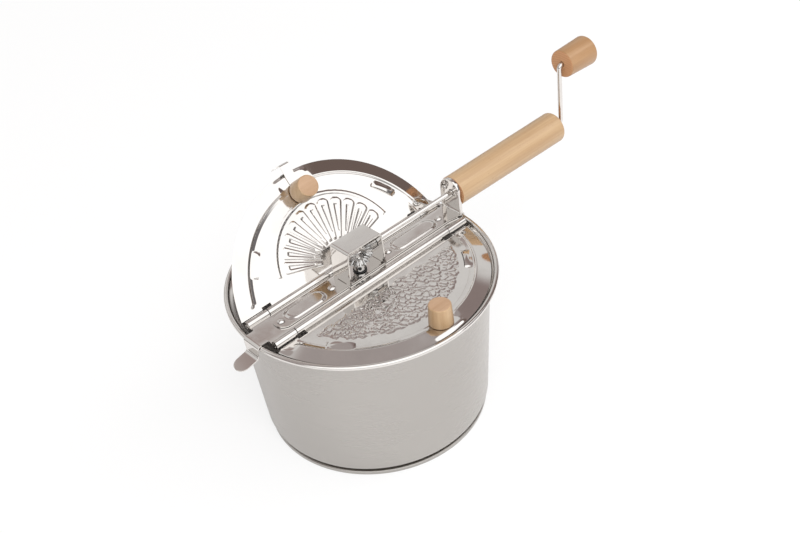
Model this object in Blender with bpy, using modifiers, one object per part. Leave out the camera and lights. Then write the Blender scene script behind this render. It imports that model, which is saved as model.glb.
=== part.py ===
"""Stovetop popcorn popper: a lipped steel pot with a lift-off lid frame, two hinged half lids, a geared
stirrer and a crank that runs through the wooden handle. Metres, +Z up. The origin is the centre of the
base on the surface it stands on, +X runs along the handle, and the front half lid is on -Y."""

import math

import bmesh
import bpy
from mathutils import Matrix, Vector

MM = 0.001

# Pot
RIM_RADIUS = 124.0 * MM
POT_HEIGHT = 150.8 * MM
POT_SHEET = 1.0 * MM
LIP_RADIUS = 2.25 * MM
LIP_ROLL_END = math.radians(-80)
SHOULDER_WIDTH = 5.6 * MM
SHOULDER_DEPTH = 5.2 * MM
POT_TAPER = 16.0 * MM
POT_CORNER_RADIUS = 9.0 * MM
POT_STEPS = 48

# Thick base under the pot
BASE_RADIUS = 105.8 * MM
BASE_THICKNESS = 4.0 * MM
BASE_EDGE = 1.0 * MM

# Clearances
SEAT_GAP = 0.3 * MM
RUNNING_GAP = 0.4 * MM

# Bridge across the pot
BRIDGE_SHEET = 1.2 * MM
BRIDGE_END_HALF_WIDTH = 10.2 * MM
HOOK_DROP = 7.15 * MM
REAR_HOOK_HALF_WIDTH = 9.0 * MM
PADDLE_HALF_WIDTH = 8.4 * MM
PADDLE_LENGTH = 17.5 * MM
PADDLE_BEND = 3.2 * MM
PADDLE_SLOPE = math.radians(12)

# Rolled hinges of the half lids
HINGE_Y = 19.0 * MM
HINGE_ROLL_RADIUS = 3.7 * MM
HINGE_PIN_RADIUS = 2.3 * MM
KNUCKLE_SHEET = 1.0 * MM
KNUCKLE_LENGTH = 22.0 * MM
KNUCKLE_WRAP = math.radians(300)
KNUCKLE_END_GAP = 0.8 * MM
KNUCKLE_WEB_INSET = 0.1 * MM
KNUCKLE_ROOT = 2.0 * MM
HINGE_PIN_RECESS = 1.5 * MM
HINGE_RISE = 0.8 * MM

# Half lids
LID_SHEET = 0.7 * MM
LID_EDGE_GAP = 0.9 * MM
LID_BRIM_WIDTH = 3.6 * MM
LID_BRIM_DROP = 2.3 * MM
LID_BEAD_INSET = 15.5 * MM
LID_BEAD_WIDTH = 3.2 * MM
LID_BEAD_HEIGHT = 2.0 * MM
LID_BEAD_START = 12.0 * MM
LID_WRAP = math.radians(305)
LID_RELIEF = 8.0 * MM
LID_STEPS = 48
REAR_LID_OPEN = math.radians(47.5)

# Vent hoods pressed into the half lids
VENT_INSET = 19.8 * MM
VENT_ANGLE = math.radians(38.0)
VENT_LENGTH = 25.0 * MM
VENT_HALF_WIDTH = 3.7 * MM
VENT_HEIGHT = 2.8 * MM
VENT_SLOT_LENGTH = 19.0 * MM
VENT_SLOT_HEIGHT = 1.4 * MM

# Wooden knobs on the half lids
LID_KNOB_INSET = 14.8 * MM
REAR_KNOB_SETBACK = 6.8 * MM
LID_KNOB_HEIGHT = 19.5 * MM
LID_KNOB_TOP_RADIUS = 10.0 * MM
LID_KNOB_BASE_RADIUS = 10.9 * MM
LID_KNOB_PAD = 13.5 * MM
KNOB_SCREW_RADIUS = 2.0 * MM
KNOB_SCREW_HEAD_RADIUS = 4.0 * MM
KNOB_SCREW_HEAD_HEIGHT = 2.4 * MM
KNOB_SCREW_REACH = 12.0 * MM

# Sprung catch under the knob of the rear half lid
CATCH_WIDTH = 10.0 * MM
CATCH_FOOT_WIDTH = 19.0 * MM
CATCH_FOOT = 5.5 * MM
CATCH_SHEET = 0.8 * MM
CATCH_TAIL = 9.0 * MM
CATCH_LEG = 9.5 * MM

# Strap that stiffens the bridge and carries the handle
STRAP_SHEET = 1.5 * MM
STRAP_HALF_WIDTH = 10.0 * MM
STRAP_FRONT_GAP = 23.75 * MM
ARCH_INSET = 2.45 * MM
ARCH_HALF_WIDTH = 12.0 * MM
ARCH_BEND = 2.6 * MM
ARCH_FLARE = 14.0 * MM
RIB_HALF_WIDTH = 8.5 * MM
RIB_HEIGHT = 1.3 * MM
RIB_RIVET_GAP = 6.0 * MM
RIB_FRONT_SHORT = 3.0 * MM

# Rivets through strap and bridge
RIVET_FRONT_INSET = 6.4 * MM
RIVET_SPREAD = 34.0 * MM
RIVET_REAR_INSET = 20.3 * MM
RIVET_RADIUS = 2.0 * MM
RIVET_HEAD_RADIUS = 3.5 * MM
RIVET_HEAD_HEIGHT = 1.4 * MM
RIVET_TAIL_HEIGHT = 1.0 * MM

# Gear bracket
BRACKET_LENGTH = 40.6 * MM
BRACKET_HALF_WIDTH = 11.8 * MM
BRACKET_HEIGHT = 34.4 * MM
BRACKET_SHEET = 1.4 * MM
BRACKET_BEND = 2.0 * MM
BRACKET_SPLAY = 1.5 * MM
TAB_WIDTH = 4.0 * MM
TAB_SPREAD = 8.0 * MM
TAB_END = 1.2 * MM

# Bevel gears
GEAR_TEETH = 12
GEAR_PITCH_RADIUS = 9.0 * MM
GEAR_FACE = 4.6 * MM
GEAR_ADDENDUM = 1.25 * MM
GEAR_DEDENDUM = 1.60 * MM
GEAR_BACKLASH = math.radians(1.0)
GEAR_BACKING = 1.8 * MM
GEAR_HUB_RADIUS = 5.7 * MM
PINION_HUB_RADIUS = 5.4 * MM
SET_SCREW_RADIUS = 1.5 * MM
SET_SCREW_LENGTH = 2.6 * MM
SET_SCREW_HEADING = math.radians(-129)

# Stirrer
SHAFT_RADIUS = 2.5 * MM
BUSH_WALL = 1.5 * MM
BUSH_FLANGE_RADIUS = 6.8 * MM
BUSH_FLANGE = 1.2 * MM
WASHER_RADIUS = 6.4 * MM
WASHER_THICKNESS = 0.8 * MM
CLIP_RADIUS = 4.8 * MM
CLIP_THICKNESS = 0.8 * MM
STIRRER_HUB_RADIUS = 5.5 * MM
STIRRER_HUB_HEIGHT = 9.0 * MM
STIRRER_FLOOR_GAP = 0.8 * MM
STIRRER_WIRE_RADIUS = 1.5 * MM
STIRRER_WALL_GAP = 14.0 * MM
STIRRER_BOW = 22.0 * MM
STIRRER_TURN_UP = 12.0 * MM
STIRRER_BEND = 6.0 * MM

# Handle and crank
CRANK_RISE = 19.4 * MM
HANDLE_RADIUS = 15.0 * MM
HANDLE_END_RADIUS = 15.8 * MM
HANDLE_LENGTH = 145.0 * MM
HANDLE_EDGE = 2.0 * MM
HANDLE_SCREW_SPREAD = 8.5 * MM
HANDLE_SCREW_RISE = 2.4 * MM
HANDLE_SCREW_RADIUS = 1.8 * MM
HANDLE_SCREW_HEAD_RADIUS = 3.4 * MM
HANDLE_SCREW_HEAD_HEIGHT = 1.8 * MM
HANDLE_SCREW_REACH = 16.0 * MM
CRANK_ROD_RADIUS = 2.4 * MM
CRANK_BEND = 4.0 * MM
CRANK_ARM = 64.2 * MM
CRANK_ARM_GAP = 11.6 * MM
CRANK_LEAN = 1.8 * MM
CRANK_KNOB_LENGTH = 36.5 * MM
CRANK_KNOB_INNER_RADIUS = 14.0 * MM
CRANK_KNOB_OUTER_RADIUS = 15.2 * MM
RETAINER_RADIUS = 5.0 * MM
RETAINER_THICKNESS = 0.8 * MM
RETAINER_RECESS = 4.0 * MM

# Places that follow from the sizes above
LIP_CENTRE_RADIUS = RIM_RADIUS - LIP_RADIUS
LIP_CENTRE_Z = POT_HEIGHT - LIP_RADIUS
SEAT_INNER_RADIUS = RIM_RADIUS - 2 * LIP_RADIUS + POT_SHEET - SHOULDER_WIDTH
POT_BOTTOM_RADIUS = RIM_RADIUS - POT_TAPER
BRIDGE_BOTTOM = POT_HEIGHT + SEAT_GAP
BRIDGE_TOP = BRIDGE_BOTTOM + BRIDGE_SHEET
BRIDGE_MID = BRIDGE_BOTTOM + BRIDGE_SHEET / 2
STRAP_BOTTOM = BRIDGE_TOP + SEAT_GAP
STRAP_TOP = STRAP_BOTTOM + STRAP_SHEET
HINGE_Z = BRIDGE_MID + HINGE_RISE
BRIDGE_HALF_WIDTH = HINGE_Y - HINGE_ROLL_RADIUS - RUNNING_GAP
LID_RADIUS = RIM_RADIUS - 2 * LIP_RADIUS + POT_SHEET - LID_EDGE_GAP - SHOULDER_WIDTH / 2
LID_CHORD = HINGE_Y + HINGE_ROLL_RADIUS + RUNNING_GAP + SEAT_GAP
KNUCKLE_OUTER_X = math.sqrt(LID_RADIUS**2 - (HINGE_Y + HINGE_ROLL_RADIUS) ** 2) - KNUCKLE_END_GAP
KNUCKLE_INNER_X = KNUCKLE_OUTER_X - KNUCKLE_LENGTH
BARREL_HALF_LENGTH = KNUCKLE_INNER_X - KNUCKLE_END_GAP
VENT_RADIUS = LID_RADIUS - VENT_INSET
LID_KNOB_REACH = LID_RADIUS - LID_KNOB_INSET
REAR_KNOB_REACH = LID_KNOB_REACH - REAR_KNOB_SETBACK
STRAP_FRONT = LIP_CENTRE_RADIUS - STRAP_FRONT_GAP
ARCH_X = LIP_CENTRE_RADIUS - ARCH_INSET
RIVET_PLACES = (RIVET_FRONT_INSET - STRAP_FRONT, -RIVET_SPREAD, RIVET_SPREAD, ARCH_X - RIVET_REAR_INSET)
BRACKET_TOP = STRAP_TOP + BRACKET_HEIGHT
BRACKET_FOOT_X = BRACKET_LENGTH / 2 + BRACKET_SPLAY - BRACKET_SHEET / 2
HANDLE_START = ARCH_X + STRAP_SHEET / 2 + SEAT_GAP
HANDLE_END = HANDLE_START + HANDLE_LENGTH
CRANK_AXIS_Z = STRAP_TOP + CRANK_RISE
CRANK_ARM_X = HANDLE_END + CRANK_ARM_GAP
CRANK_KNOB_START = CRANK_ARM_X - CRANK_LEAN + CRANK_BEND
FLOOR_BOTTOM = BASE_THICKNESS + SEAT_GAP
FLOOR_TOP = FLOOR_BOTTOM + POT_SHEET
STIRRER_HUB_BOTTOM = FLOOR_TOP + STIRRER_FLOOR_GAP
STIRRER_REACH = POT_BOTTOM_RADIUS - STIRRER_WALL_GAP
STIRRER_WIRE_Z = STIRRER_HUB_BOTTOM + STIRRER_WIRE_RADIUS + RUNNING_GAP + 0.8 * MM
BUSH_RADIUS = SHAFT_RADIUS + SEAT_GAP + BUSH_WALL
GEAR_SMALL_END = 1 - GEAR_FACE / (GEAR_PITCH_RADIUS * math.sqrt(2))
GEAR_HUB_BOTTOM = STRAP_TOP + SEAT_GAP + WASHER_THICKNESS + SEAT_GAP

WOOD = ("beech_wood", (0.67, 0.44, 0.24), 0.45, 0.0)
POLISHED_STEEL = ("polished_steel", (0.72, 0.70, 0.68), 0.16, 1.0)
SATIN_STEEL = ("satin_steel", (0.60, 0.57, 0.54), 0.30, 1.0)
GEAR_METAL = ("gear_metal", (0.50, 0.50, 0.51), 0.30, 1.0)
BLACK_NYLON = ("black_nylon", (0.02, 0.02, 0.02), 0.45, 0.0)


def clear_scene():
    """Removes whatever the file held."""
    for thing in list(bpy.data.objects):
        bpy.data.objects.remove(thing, do_unlink=True)


def make_collection(name):
    """A new collection under the scene."""
    made = bpy.data.collections.new(name)
    bpy.context.scene.collection.children.link(made)
    return made


def make_material(finish):
    """The Principled material of a finish, made once."""
    name, colour, roughness, metallic = finish
    found = bpy.data.materials.get(name)
    if found:
        return found
    made = bpy.data.materials.new(name)
    made.use_nodes = True
    shader = made.node_tree.nodes["Principled BSDF"]
    shader.inputs["Base Color"].default_value = (*colour, 1.0)
    shader.inputs["Roughness"].default_value = roughness
    shader.inputs["Metallic"].default_value = metallic
    return made


def make_axis(name, location, rotation=(0.0, 0.0, 0.0)):
    """An empty that stands on a joint's axis and carries what turns about it."""
    axis = bpy.data.objects.new(name, None)
    axis.empty_display_size = 0.02
    axis.location = location
    axis.rotation_euler = rotation
    PIECES.objects.link(axis)
    return axis


def place(name, mesh, finish, parent=None, location=(0, 0, 0), rotation=(0, 0, 0)):
    """A piece of the popper as an object of its own."""
    mesh.materials.append(make_material(finish))
    mesh.shade_smooth()
    mesh.set_sharp_from_angle(angle=math.radians(32))
    piece = bpy.data.objects.new(name, mesh)
    piece.parent = parent
    piece.location = location
    piece.rotation_euler = rotation
    PIECES.objects.link(piece)
    return piece


def place_cutter(name, mesh, parent=None, location=(0, 0, 0), rotation=(0, 0, 0)):
    """A hidden shape that only cuts or joins another."""
    cutter = bpy.data.objects.new(name, mesh)
    cutter.parent = parent
    cutter.location = location
    cutter.rotation_euler = rotation
    cutter.hide_render = True
    cutter.display_type = "WIRE"
    CUTTERS.objects.link(cutter)
    return cutter


def boolean(piece, cutter, operation="DIFFERENCE"):
    """Joins or cuts a piece with another shape."""
    modifier = piece.modifiers.new(cutter.name, "BOOLEAN")
    modifier.operation = operation
    modifier.solver = "EXACT"
    modifier.object = cutter


def solidify(piece, thickness):
    """Gives an open surface its sheet thickness, half to each side."""
    modifier = piece.modifiers.new("sheet", "SOLIDIFY")
    modifier.thickness = thickness
    modifier.offset = 0
    modifier.use_even_offset = True


def mesh_from(edit, name):
    """A mesh datablock from an edit mesh, with its faces turned outwards."""
    bmesh.ops.recalc_face_normals(edit, faces=edit.faces)
    mesh = bpy.data.meshes.new(name)
    edit.to_mesh(mesh)
    edit.free()
    return mesh


def box_mesh(name, low, high):
    """A box between two corners."""
    edit = bmesh.new()
    bmesh.ops.create_cube(edit, size=1.0)
    for vertex in edit.verts:
        for axis in range(3):
            middle = (low[axis] + high[axis]) / 2
            vertex.co[axis] = middle + vertex.co[axis] * (high[axis] - low[axis])
    return mesh_from(edit, name)


def cylinder_mesh(name, radius, low, high, sides=20):
    """A cylinder along Z between two heights."""
    edit = bmesh.new()
    bmesh.ops.create_cone(
        edit, cap_ends=True, segments=sides, radius1=radius, radius2=radius, depth=high - low
    )
    bmesh.ops.translate(edit, verts=edit.verts, vec=(0, 0, (low + high) / 2))
    return mesh_from(edit, name)


def turned_mesh(name, outline, sides=32):
    """A solid turned about Z from its outline: (radius, height) from the top of the axis to its foot."""
    edit = bmesh.new()
    points = [edit.verts.new((radius, 0, height)) for radius, height in outline]
    edges = [edit.edges.new(pair) for pair in zip(points, points[1:])]
    bmesh.ops.spin(
        edit,
        geom=points + edges,
        cent=(0, 0, 0),
        axis=(0, 0, 1),
        angle=math.tau,
        steps=sides,
        use_merge=True,
    )
    bmesh.ops.remove_doubles(edit, verts=edit.verts, dist=1e-6)
    return mesh_from(edit, name)


def ring_mesh(name, inner, outer, low, high, sides=28):
    """A flat washer or sleeve about Z."""
    outline = ((inner, high), (outer, high), (outer, low), (inner, low), (inner, high))
    return turned_mesh(name, outline, sides)


def arc(centre, radius, start, end, steps):
    """Points along an arc in a plane."""
    angles = [start + (end - start) * step / steps for step in range(steps + 1)]
    return [
        (centre[0] + radius * math.cos(angle), centre[1] + radius * math.sin(angle)) for angle in angles
    ]


def strip_mesh(name, path, half_width):
    """A band along a path in XZ, as wide across Y as half_width says at each step."""
    edit = bmesh.new()
    rows = []
    length = 0.0
    previous = Vector(path[0])
    for point in path:
        length += (Vector(point) - previous).length
        previous = Vector(point)
        half = half_width(point, length)
        rows.append(
            (edit.verts.new((point[0], -half, point[1])), edit.verts.new((point[0], half, point[1])))
        )
    for (left, right), (next_left, next_right) in zip(rows, rows[1:]):
        edit.faces.new((left, right, next_right, next_left))
    return mesh_from(edit, name)


def path_length(path):
    """Length of a path in a plane."""
    return sum((Vector(end) - Vector(start)).length for start, end in zip(path, path[1:]))


def wire_mesh(name, points, radius, resolution=2):
    """A bent wire along points, with flat ends, as a closed mesh."""
    data = bpy.data.curves.new(name, "CURVE")
    data.dimensions = "3D"
    data.bevel_depth = radius
    data.bevel_resolution = resolution
    data.use_fill_caps = True
    spline = data.splines.new("POLY")
    spline.points.add(len(points) - 1)
    for slot, point in zip(spline.points, points):
        slot.co = (*point, 1.0)
    guide = bpy.data.objects.new(name + "_guide", data)
    CUTTERS.objects.link(guide)
    bpy.context.view_layer.update()
    graph = bpy.context.evaluated_depsgraph_get()
    mesh = bpy.data.meshes.new_from_object(guide.evaluated_get(graph))
    bpy.data.objects.remove(guide, do_unlink=True)
    bpy.data.curves.remove(data)
    edit = bmesh.new()
    edit.from_mesh(mesh)
    bpy.data.meshes.remove(mesh)
    bmesh.ops.remove_doubles(edit, verts=edit.verts, dist=1e-6)
    return mesh_from(edit, name)


def rounded_route(corners, radius, steps=6):
    """A route through corners in space, each turned with the bend radius of the wire."""
    corners = [Vector(corner) for corner in corners]
    route = [corners[0]]
    for before, corner, after in zip(corners, corners[1:], corners[2:]):
        inward = (before - corner).normalized()
        onward = (after - corner).normalized()
        half_angle = inward.angle(onward) / 2
        setback = radius / math.tan(half_angle)
        centre = corner + (inward + onward).normalized() * (radius / math.sin(half_angle))
        start = corner + inward * setback - centre
        end = corner + onward * setback - centre
        turn = start.angle(end)
        axis = start.cross(end).normalized()
        for step in range(steps + 1):
            route.append(centre + Matrix.Rotation(turn * step / steps, 3, axis) @ start)
    route.append(corners[-1])
    return route


def bent_capsule_mesh(name, centre, radius, middle, length, half_width, height, sides=10, steps=10):
    """A round-ended ridge that follows an arc of the lid, to be pressed out of its sheet."""
    edit = bmesh.new()
    rings = []
    half_angle = length / 2 / radius
    end_angle = half_width / radius
    for step in range(1, steps):
        share = step / steps * 2 - 1
        angle = half_angle * math.sin(share * math.pi / 2)
        past = max(0.0, (abs(angle) - (half_angle - end_angle)) / end_angle)
        scale = math.sqrt(max(0.0, 1 - past**2))
        ring = []
        for side in range(sides):
            turn = math.tau * side / sides
            reach = radius + half_width * scale * math.cos(turn)
            place_x = centre[0] + reach * math.cos(middle + angle)
            place_y = centre[1] + reach * math.sin(middle + angle)
            ring.append(edit.verts.new((place_x, place_y, centre[2] + height * scale * math.sin(turn))))
        rings.append(ring)
    for ring, following in zip(rings, rings[1:]):
        for side in range(sides):
            after = (side + 1) % sides
            edit.faces.new((ring[side], ring[after], following[after], following[side]))
    edit.faces.new(rings[0])
    edit.faces.new(reversed(rings[-1]))
    return mesh_from(edit, name)


# Pot


def pot_path():
    """Middle line of the pot's sheet, from the centre of the floor to the end of the rolled lip."""
    floor = FLOOR_BOTTOM + POT_SHEET / 2
    wall_foot = POT_BOTTOM_RADIUS - POT_SHEET / 2
    wall_top = SEAT_INNER_RADIUS + POT_SHEET / 2
    shoulder_foot = LIP_CENTRE_Z - SHOULDER_DEPTH
    rise = math.atan2(shoulder_foot - floor, wall_top - wall_foot)
    corner_centre = (wall_foot - POT_CORNER_RADIUS, floor + POT_CORNER_RADIUS)
    path = [(0.0, floor), (wall_foot * 0.5, floor)]
    path += arc(corner_centre, POT_CORNER_RADIUS, -math.pi / 2, rise - math.pi / 2, 4)
    path.append((wall_top, shoulder_foot))
    lip_inner = LIP_CENTRE_RADIUS - LIP_RADIUS + POT_SHEET / 2
    for share in (0.25, 0.5, 0.75):
        ease = share * share * (3 - 2 * share)
        path.append(
            (wall_top + (lip_inner - wall_top) * ease, shoulder_foot + SHOULDER_DEPTH * share * 0.9)
        )
    path += arc(
        (LIP_CENTRE_RADIUS, LIP_CENTRE_Z), LIP_RADIUS - POT_SHEET / 2, math.pi, LIP_ROLL_END, 8
    )
    return path


def build_pot():
    """Drawn pot with its rolled lip, and the thick base plate bonded under it."""
    edit = bmesh.new()
    points = [edit.verts.new((radius, 0, height)) for radius, height in pot_path()]
    edges = [edit.edges.new(pair) for pair in zip(points, points[1:])]
    bmesh.ops.spin(
        edit,
        geom=points + edges,
        cent=(0, 0, 0),
        axis=(0, 0, 1),
        angle=math.tau,
        steps=POT_STEPS,
        use_merge=True,
    )
    bmesh.ops.remove_doubles(edit, verts=edit.verts, dist=1e-6)
    solidify(place("pot", mesh_from(edit, "pot"), SATIN_STEEL), POT_SHEET)
    outline = (
        (0, BASE_THICKNESS),
        (BASE_RADIUS - BASE_EDGE, BASE_THICKNESS),
        (BASE_RADIUS, BASE_THICKNESS - BASE_EDGE),
        (BASE_RADIUS, BASE_EDGE),
        (BASE_RADIUS - BASE_EDGE, 0),
        (0, 0),
    )
    place("base_plate", turned_mesh("base_plate", outline, POT_STEPS), SATIN_STEEL)


# Bridge and what is fixed to it


def bridge_path():
    """Middle line of the bridge in XZ, from the foot of the rear hook to the tip of the front paddle."""
    curl = LIP_RADIUS + SEAT_GAP + BRIDGE_SHEET / 2
    hook_foot = LIP_CENTRE_Z - HOOK_DROP
    path = [(LIP_CENTRE_RADIUS + curl, hook_foot)]
    path += arc((LIP_CENTRE_RADIUS, LIP_CENTRE_Z), curl, 0, math.pi / 2, 6)
    path += [(LIP_CENTRE_RADIUS - 3 * MM, BRIDGE_MID), (KNUCKLE_OUTER_X, BRIDGE_MID)]
    path += [(KNUCKLE_OUTER_X - 1 * MM, BRIDGE_MID), (1 * MM - KNUCKLE_OUTER_X, BRIDGE_MID)]
    path += [(-KNUCKLE_OUTER_X, BRIDGE_MID), (3 * MM - LIP_CENTRE_RADIUS, BRIDGE_MID)]
    path += arc((-LIP_CENTRE_RADIUS, LIP_CENTRE_Z), curl, math.pi / 2, math.pi, 6)
    bend_centre = (-LIP_CENTRE_RADIUS - curl - PADDLE_BEND, hook_foot)
    flare = arc(bend_centre, PADDLE_BEND, 0, PADDLE_SLOPE - math.pi / 2, 5)
    path += flare
    reach = (-math.cos(PADDLE_SLOPE), -math.sin(PADDLE_SLOPE))
    start = flare[-1]
    for share in (0.45, 0.62, 0.76, 0.87, 0.95, 0.99):
        path.append(
            (start[0] + reach[0] * PADDLE_LENGTH * share, start[1] + reach[1] * PADDLE_LENGTH * share)
        )
    return path


def build_bridge():
    """Pressed bridge with a hook at each end, a thumb paddle, and four rolled knuckles."""
    path = bridge_path()
    whole = path_length(path)

    def half_width(point, length):
        to_tip = whole - length + PADDLE_LENGTH * 0.01
        if to_tip < PADDLE_HALF_WIDTH:
            return math.sqrt(PADDLE_HALF_WIDTH**2 - (PADDLE_HALF_WIDTH - to_tip) ** 2)
        if point[0] < -LIP_CENTRE_RADIUS:
            drop = min(1.0, (BRIDGE_MID - point[1]) / (LIP_RADIUS + HOOK_DROP))
            return BRIDGE_END_HALF_WIDTH + (PADDLE_HALF_WIDTH - BRIDGE_END_HALF_WIDTH) * drop
        if point[0] > LIP_CENTRE_RADIUS - 1 * MM:
            return REAR_HOOK_HALF_WIDTH
        if abs(point[0]) < KNUCKLE_OUTER_X - 0.5 * MM:
            return BRIDGE_HALF_WIDTH
        return BRIDGE_END_HALF_WIDTH

    bridge = place("bridge", strip_mesh("bridge", path, half_width), POLISHED_STEEL)
    solidify(bridge, BRIDGE_SHEET)
    for side in (-1, 1):
        for end in (-1, 1):
            name = f"knuckle_{'front' if side < 0 else 'rear'}_{'crank' if end > 0 else 'paddle'}"
            boolean(bridge, place_cutter(name, knuckle_mesh(name, side, end)), "UNION")
    cut_bridge_holes(bridge)


def knuckle_mesh(name, side, end):
    """A rolled knuckle with the web that joins it to the bridge, side -1 or 1 in Y and end -1 or 1 in X."""
    inner = HINGE_ROLL_RADIUS - KNUCKLE_SHEET
    web_low = BRIDGE_BOTTOM - HINGE_Z + KNUCKLE_WEB_INSET
    web_high = BRIDGE_TOP - HINGE_Z - KNUCKLE_WEB_INSET
    top_angle = math.pi - math.asin(web_high / HINGE_ROLL_RADIUS)
    low_angle = math.pi - math.asin(web_low / inner)
    end_angle = low_angle - KNUCKLE_WRAP
    root = BRIDGE_HALF_WIDTH - KNUCKLE_ROOT - HINGE_Y
    outline = [(root, web_low), (root, web_high)]
    outline += arc((0, 0), HINGE_ROLL_RADIUS, top_angle, end_angle, 14)
    outline += arc((0, 0), inner, end_angle, low_angle, 14)
    low_x, high_x = sorted((end * KNUCKLE_INNER_X, end * KNUCKLE_OUTER_X))
    low_x += KNUCKLE_WEB_INSET
    high_x -= KNUCKLE_WEB_INSET
    edit = bmesh.new()
    ends = [
        [edit.verts.new((x, side * (HINGE_Y + y), HINGE_Z + z)) for y, z in outline]
        for x in (low_x, high_x)
    ]
    for index in range(len(outline)):
        after = (index + 1) % len(outline)
        edit.faces.new((ends[0][index], ends[0][after], ends[1][after], ends[1][index]))
    edit.faces.new(ends[0])
    edit.faces.new(reversed(ends[1]))
    return mesh_from(edit, name)


def cut_bridge_holes(piece):
    """Holes that strap and bridge share: rivets, stirrer bush and the bracket's tabs."""
    low = LIP_CENTRE_Z
    high = STRAP_TOP + 3 * MM
    for number, rivet_x in enumerate(RIVET_PLACES, 1):
        mesh = cylinder_mesh("rivet_hole", RIVET_RADIUS + SEAT_GAP, low, high, 16)
        boolean(piece, place_cutter(f"{piece.name}_rivet_hole_{number}", mesh, location=(rivet_x, 0, 0)))
    mesh = cylinder_mesh("bush_hole", BUSH_RADIUS + SEAT_GAP, low, high, 24)
    boolean(piece, place_cutter(f"{piece.name}_bush_hole", mesh))
    for end in (-1, 1):
        for side in (-1, 1):
            half_x = BRACKET_SHEET / 2 + RUNNING_GAP
            half_y = TAB_WIDTH / 2 + RUNNING_GAP
            mesh = box_mesh("tab_slot", (-half_x, -half_y, low), (half_x, half_y, high))
            name = f"{piece.name}_tab_slot_{end}_{side}"
            place_at = (end * BRACKET_FOOT_X, side * TAB_SPREAD, 0)
            boolean(piece, place_cutter(name, mesh, location=place_at))


def build_strap():
    """Strap riveted along the bridge, turned up at the rear into the arched plate behind the handle."""
    level = STRAP_BOTTOM + STRAP_SHEET / 2
    arch_centre_z = CRANK_AXIS_Z + HANDLE_RADIUS - ARCH_HALF_WIDTH
    path = []
    for share in (0.0, 0.04, 0.12, 0.25, 0.42, 0.65, 1.0):
        path.append((-STRAP_FRONT + STRAP_HALF_WIDTH * share, level))
    path += [(ARCH_X - ARCH_BEND - ARCH_FLARE, level), (ARCH_X - ARCH_BEND - ARCH_FLARE / 2, level)]
    path += arc((ARCH_X - ARCH_BEND, level + ARCH_BEND), ARCH_BEND, -math.pi / 2, 0, 4)
    for step in range(9):
        turn = math.pi / 2 * step / 8
        height = arch_centre_z + ARCH_HALF_WIDTH * math.sin(turn) * 0.9995
        path.append((ARCH_X, height))

    def half_width(point, length):
        if point[1] > arch_centre_z:
            rise = min(point[1] - arch_centre_z, ARCH_HALF_WIDTH)
            return math.sqrt(ARCH_HALF_WIDTH**2 - rise**2)
        if length < STRAP_HALF_WIDTH:
            inset = STRAP_HALF_WIDTH - max(length, 0.02 * STRAP_HALF_WIDTH)
            return math.sqrt(STRAP_HALF_WIDTH**2 - inset**2)
        if point[0] > ARCH_X - ARCH_BEND - ARCH_FLARE / 4:
            return ARCH_HALF_WIDTH
        if point[0] > ARCH_X - ARCH_BEND - ARCH_FLARE * 0.75:
            return (ARCH_HALF_WIDTH + STRAP_HALF_WIDTH) / 2
        return STRAP_HALF_WIDTH

    strap = place("handle_strap", strip_mesh("handle_strap", path, half_width), POLISHED_STEEL)
    solidify(strap, STRAP_SHEET)
    press_ribs(strap)
    cut_bridge_holes(strap)
    along_x = (0, math.pi / 2, 0)
    depth = STRAP_SHEET * 2
    mesh = cylinder_mesh("rod_hole", CRANK_ROD_RADIUS + RUNNING_GAP, -depth, depth)
    boolean(strap, place_cutter("strap_rod_hole", mesh, None, (ARCH_X, 0, CRANK_AXIS_Z), along_x))
    for side in (-1, 1):
        mesh = cylinder_mesh("screw_hole", HANDLE_SCREW_RADIUS + SEAT_GAP, -depth, depth, 16)
        place_at = (ARCH_X, side * HANDLE_SCREW_SPREAD, CRANK_AXIS_Z + HANDLE_SCREW_RISE)
        boolean(strap, place_cutter(f"strap_screw_hole_{side}", mesh, None, place_at, along_x))


def press_ribs(strap):
    """Long ribs pressed up out of the strap before and behind the gears, hollow below."""
    front = (RIVET_PLACES[0] + RIB_RIVET_GAP, RIVET_PLACES[1] - RIB_RIVET_GAP - RIB_FRONT_SHORT)
    rear = (RIVET_PLACES[2] + RIB_RIVET_GAP, RIVET_PLACES[3] - RIB_RIVET_GAP)
    wall = STRAP_SHEET * 0.8
    for name, (low, high) in (("front", front), ("rear", rear)):
        mesh = rib_mesh(low, high, RIB_HALF_WIDTH, STRAP_TOP)
        boolean(strap, place_cutter(f"rib_{name}", mesh), "UNION")
        mesh = rib_mesh(low + wall, high - wall, RIB_HALF_WIDTH - wall, STRAP_BOTTOM)
        boolean(strap, place_cutter(f"rib_hollow_{name}", mesh))


def rib_mesh(low, high, half_width, foot):
    """A long rib with rounded ends between two places in X, its sides sloping in to a flat top."""
    edit = bmesh.new()
    rings = []
    for inset, rise in ((0.0, -0.4), (0.0, 0.08), (0.09, 0.62), (0.26, 1.0)):
        radius = half_width * (1 - inset)
        height = foot + RIB_HEIGHT * rise
        ends = ((high - half_width, -math.pi / 2), (low + half_width, math.pi / 2))
        ring = []
        for centre, start in ends:
            for x, y in arc((centre, 0), radius, start, start + math.pi, 8):
                ring.append(edit.verts.new((x, y, height)))
        rings.append(ring)
    for ring, following in zip(rings, rings[1:]):
        for side in range(len(ring)):
            after = (side + 1) % len(ring)
            edit.faces.new((ring[side], ring[after], following[after], following[side]))
    edit.faces.new(rings[0])
    edit.faces.new(reversed(rings[-1]))
    return mesh_from(edit, "rib")


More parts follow.
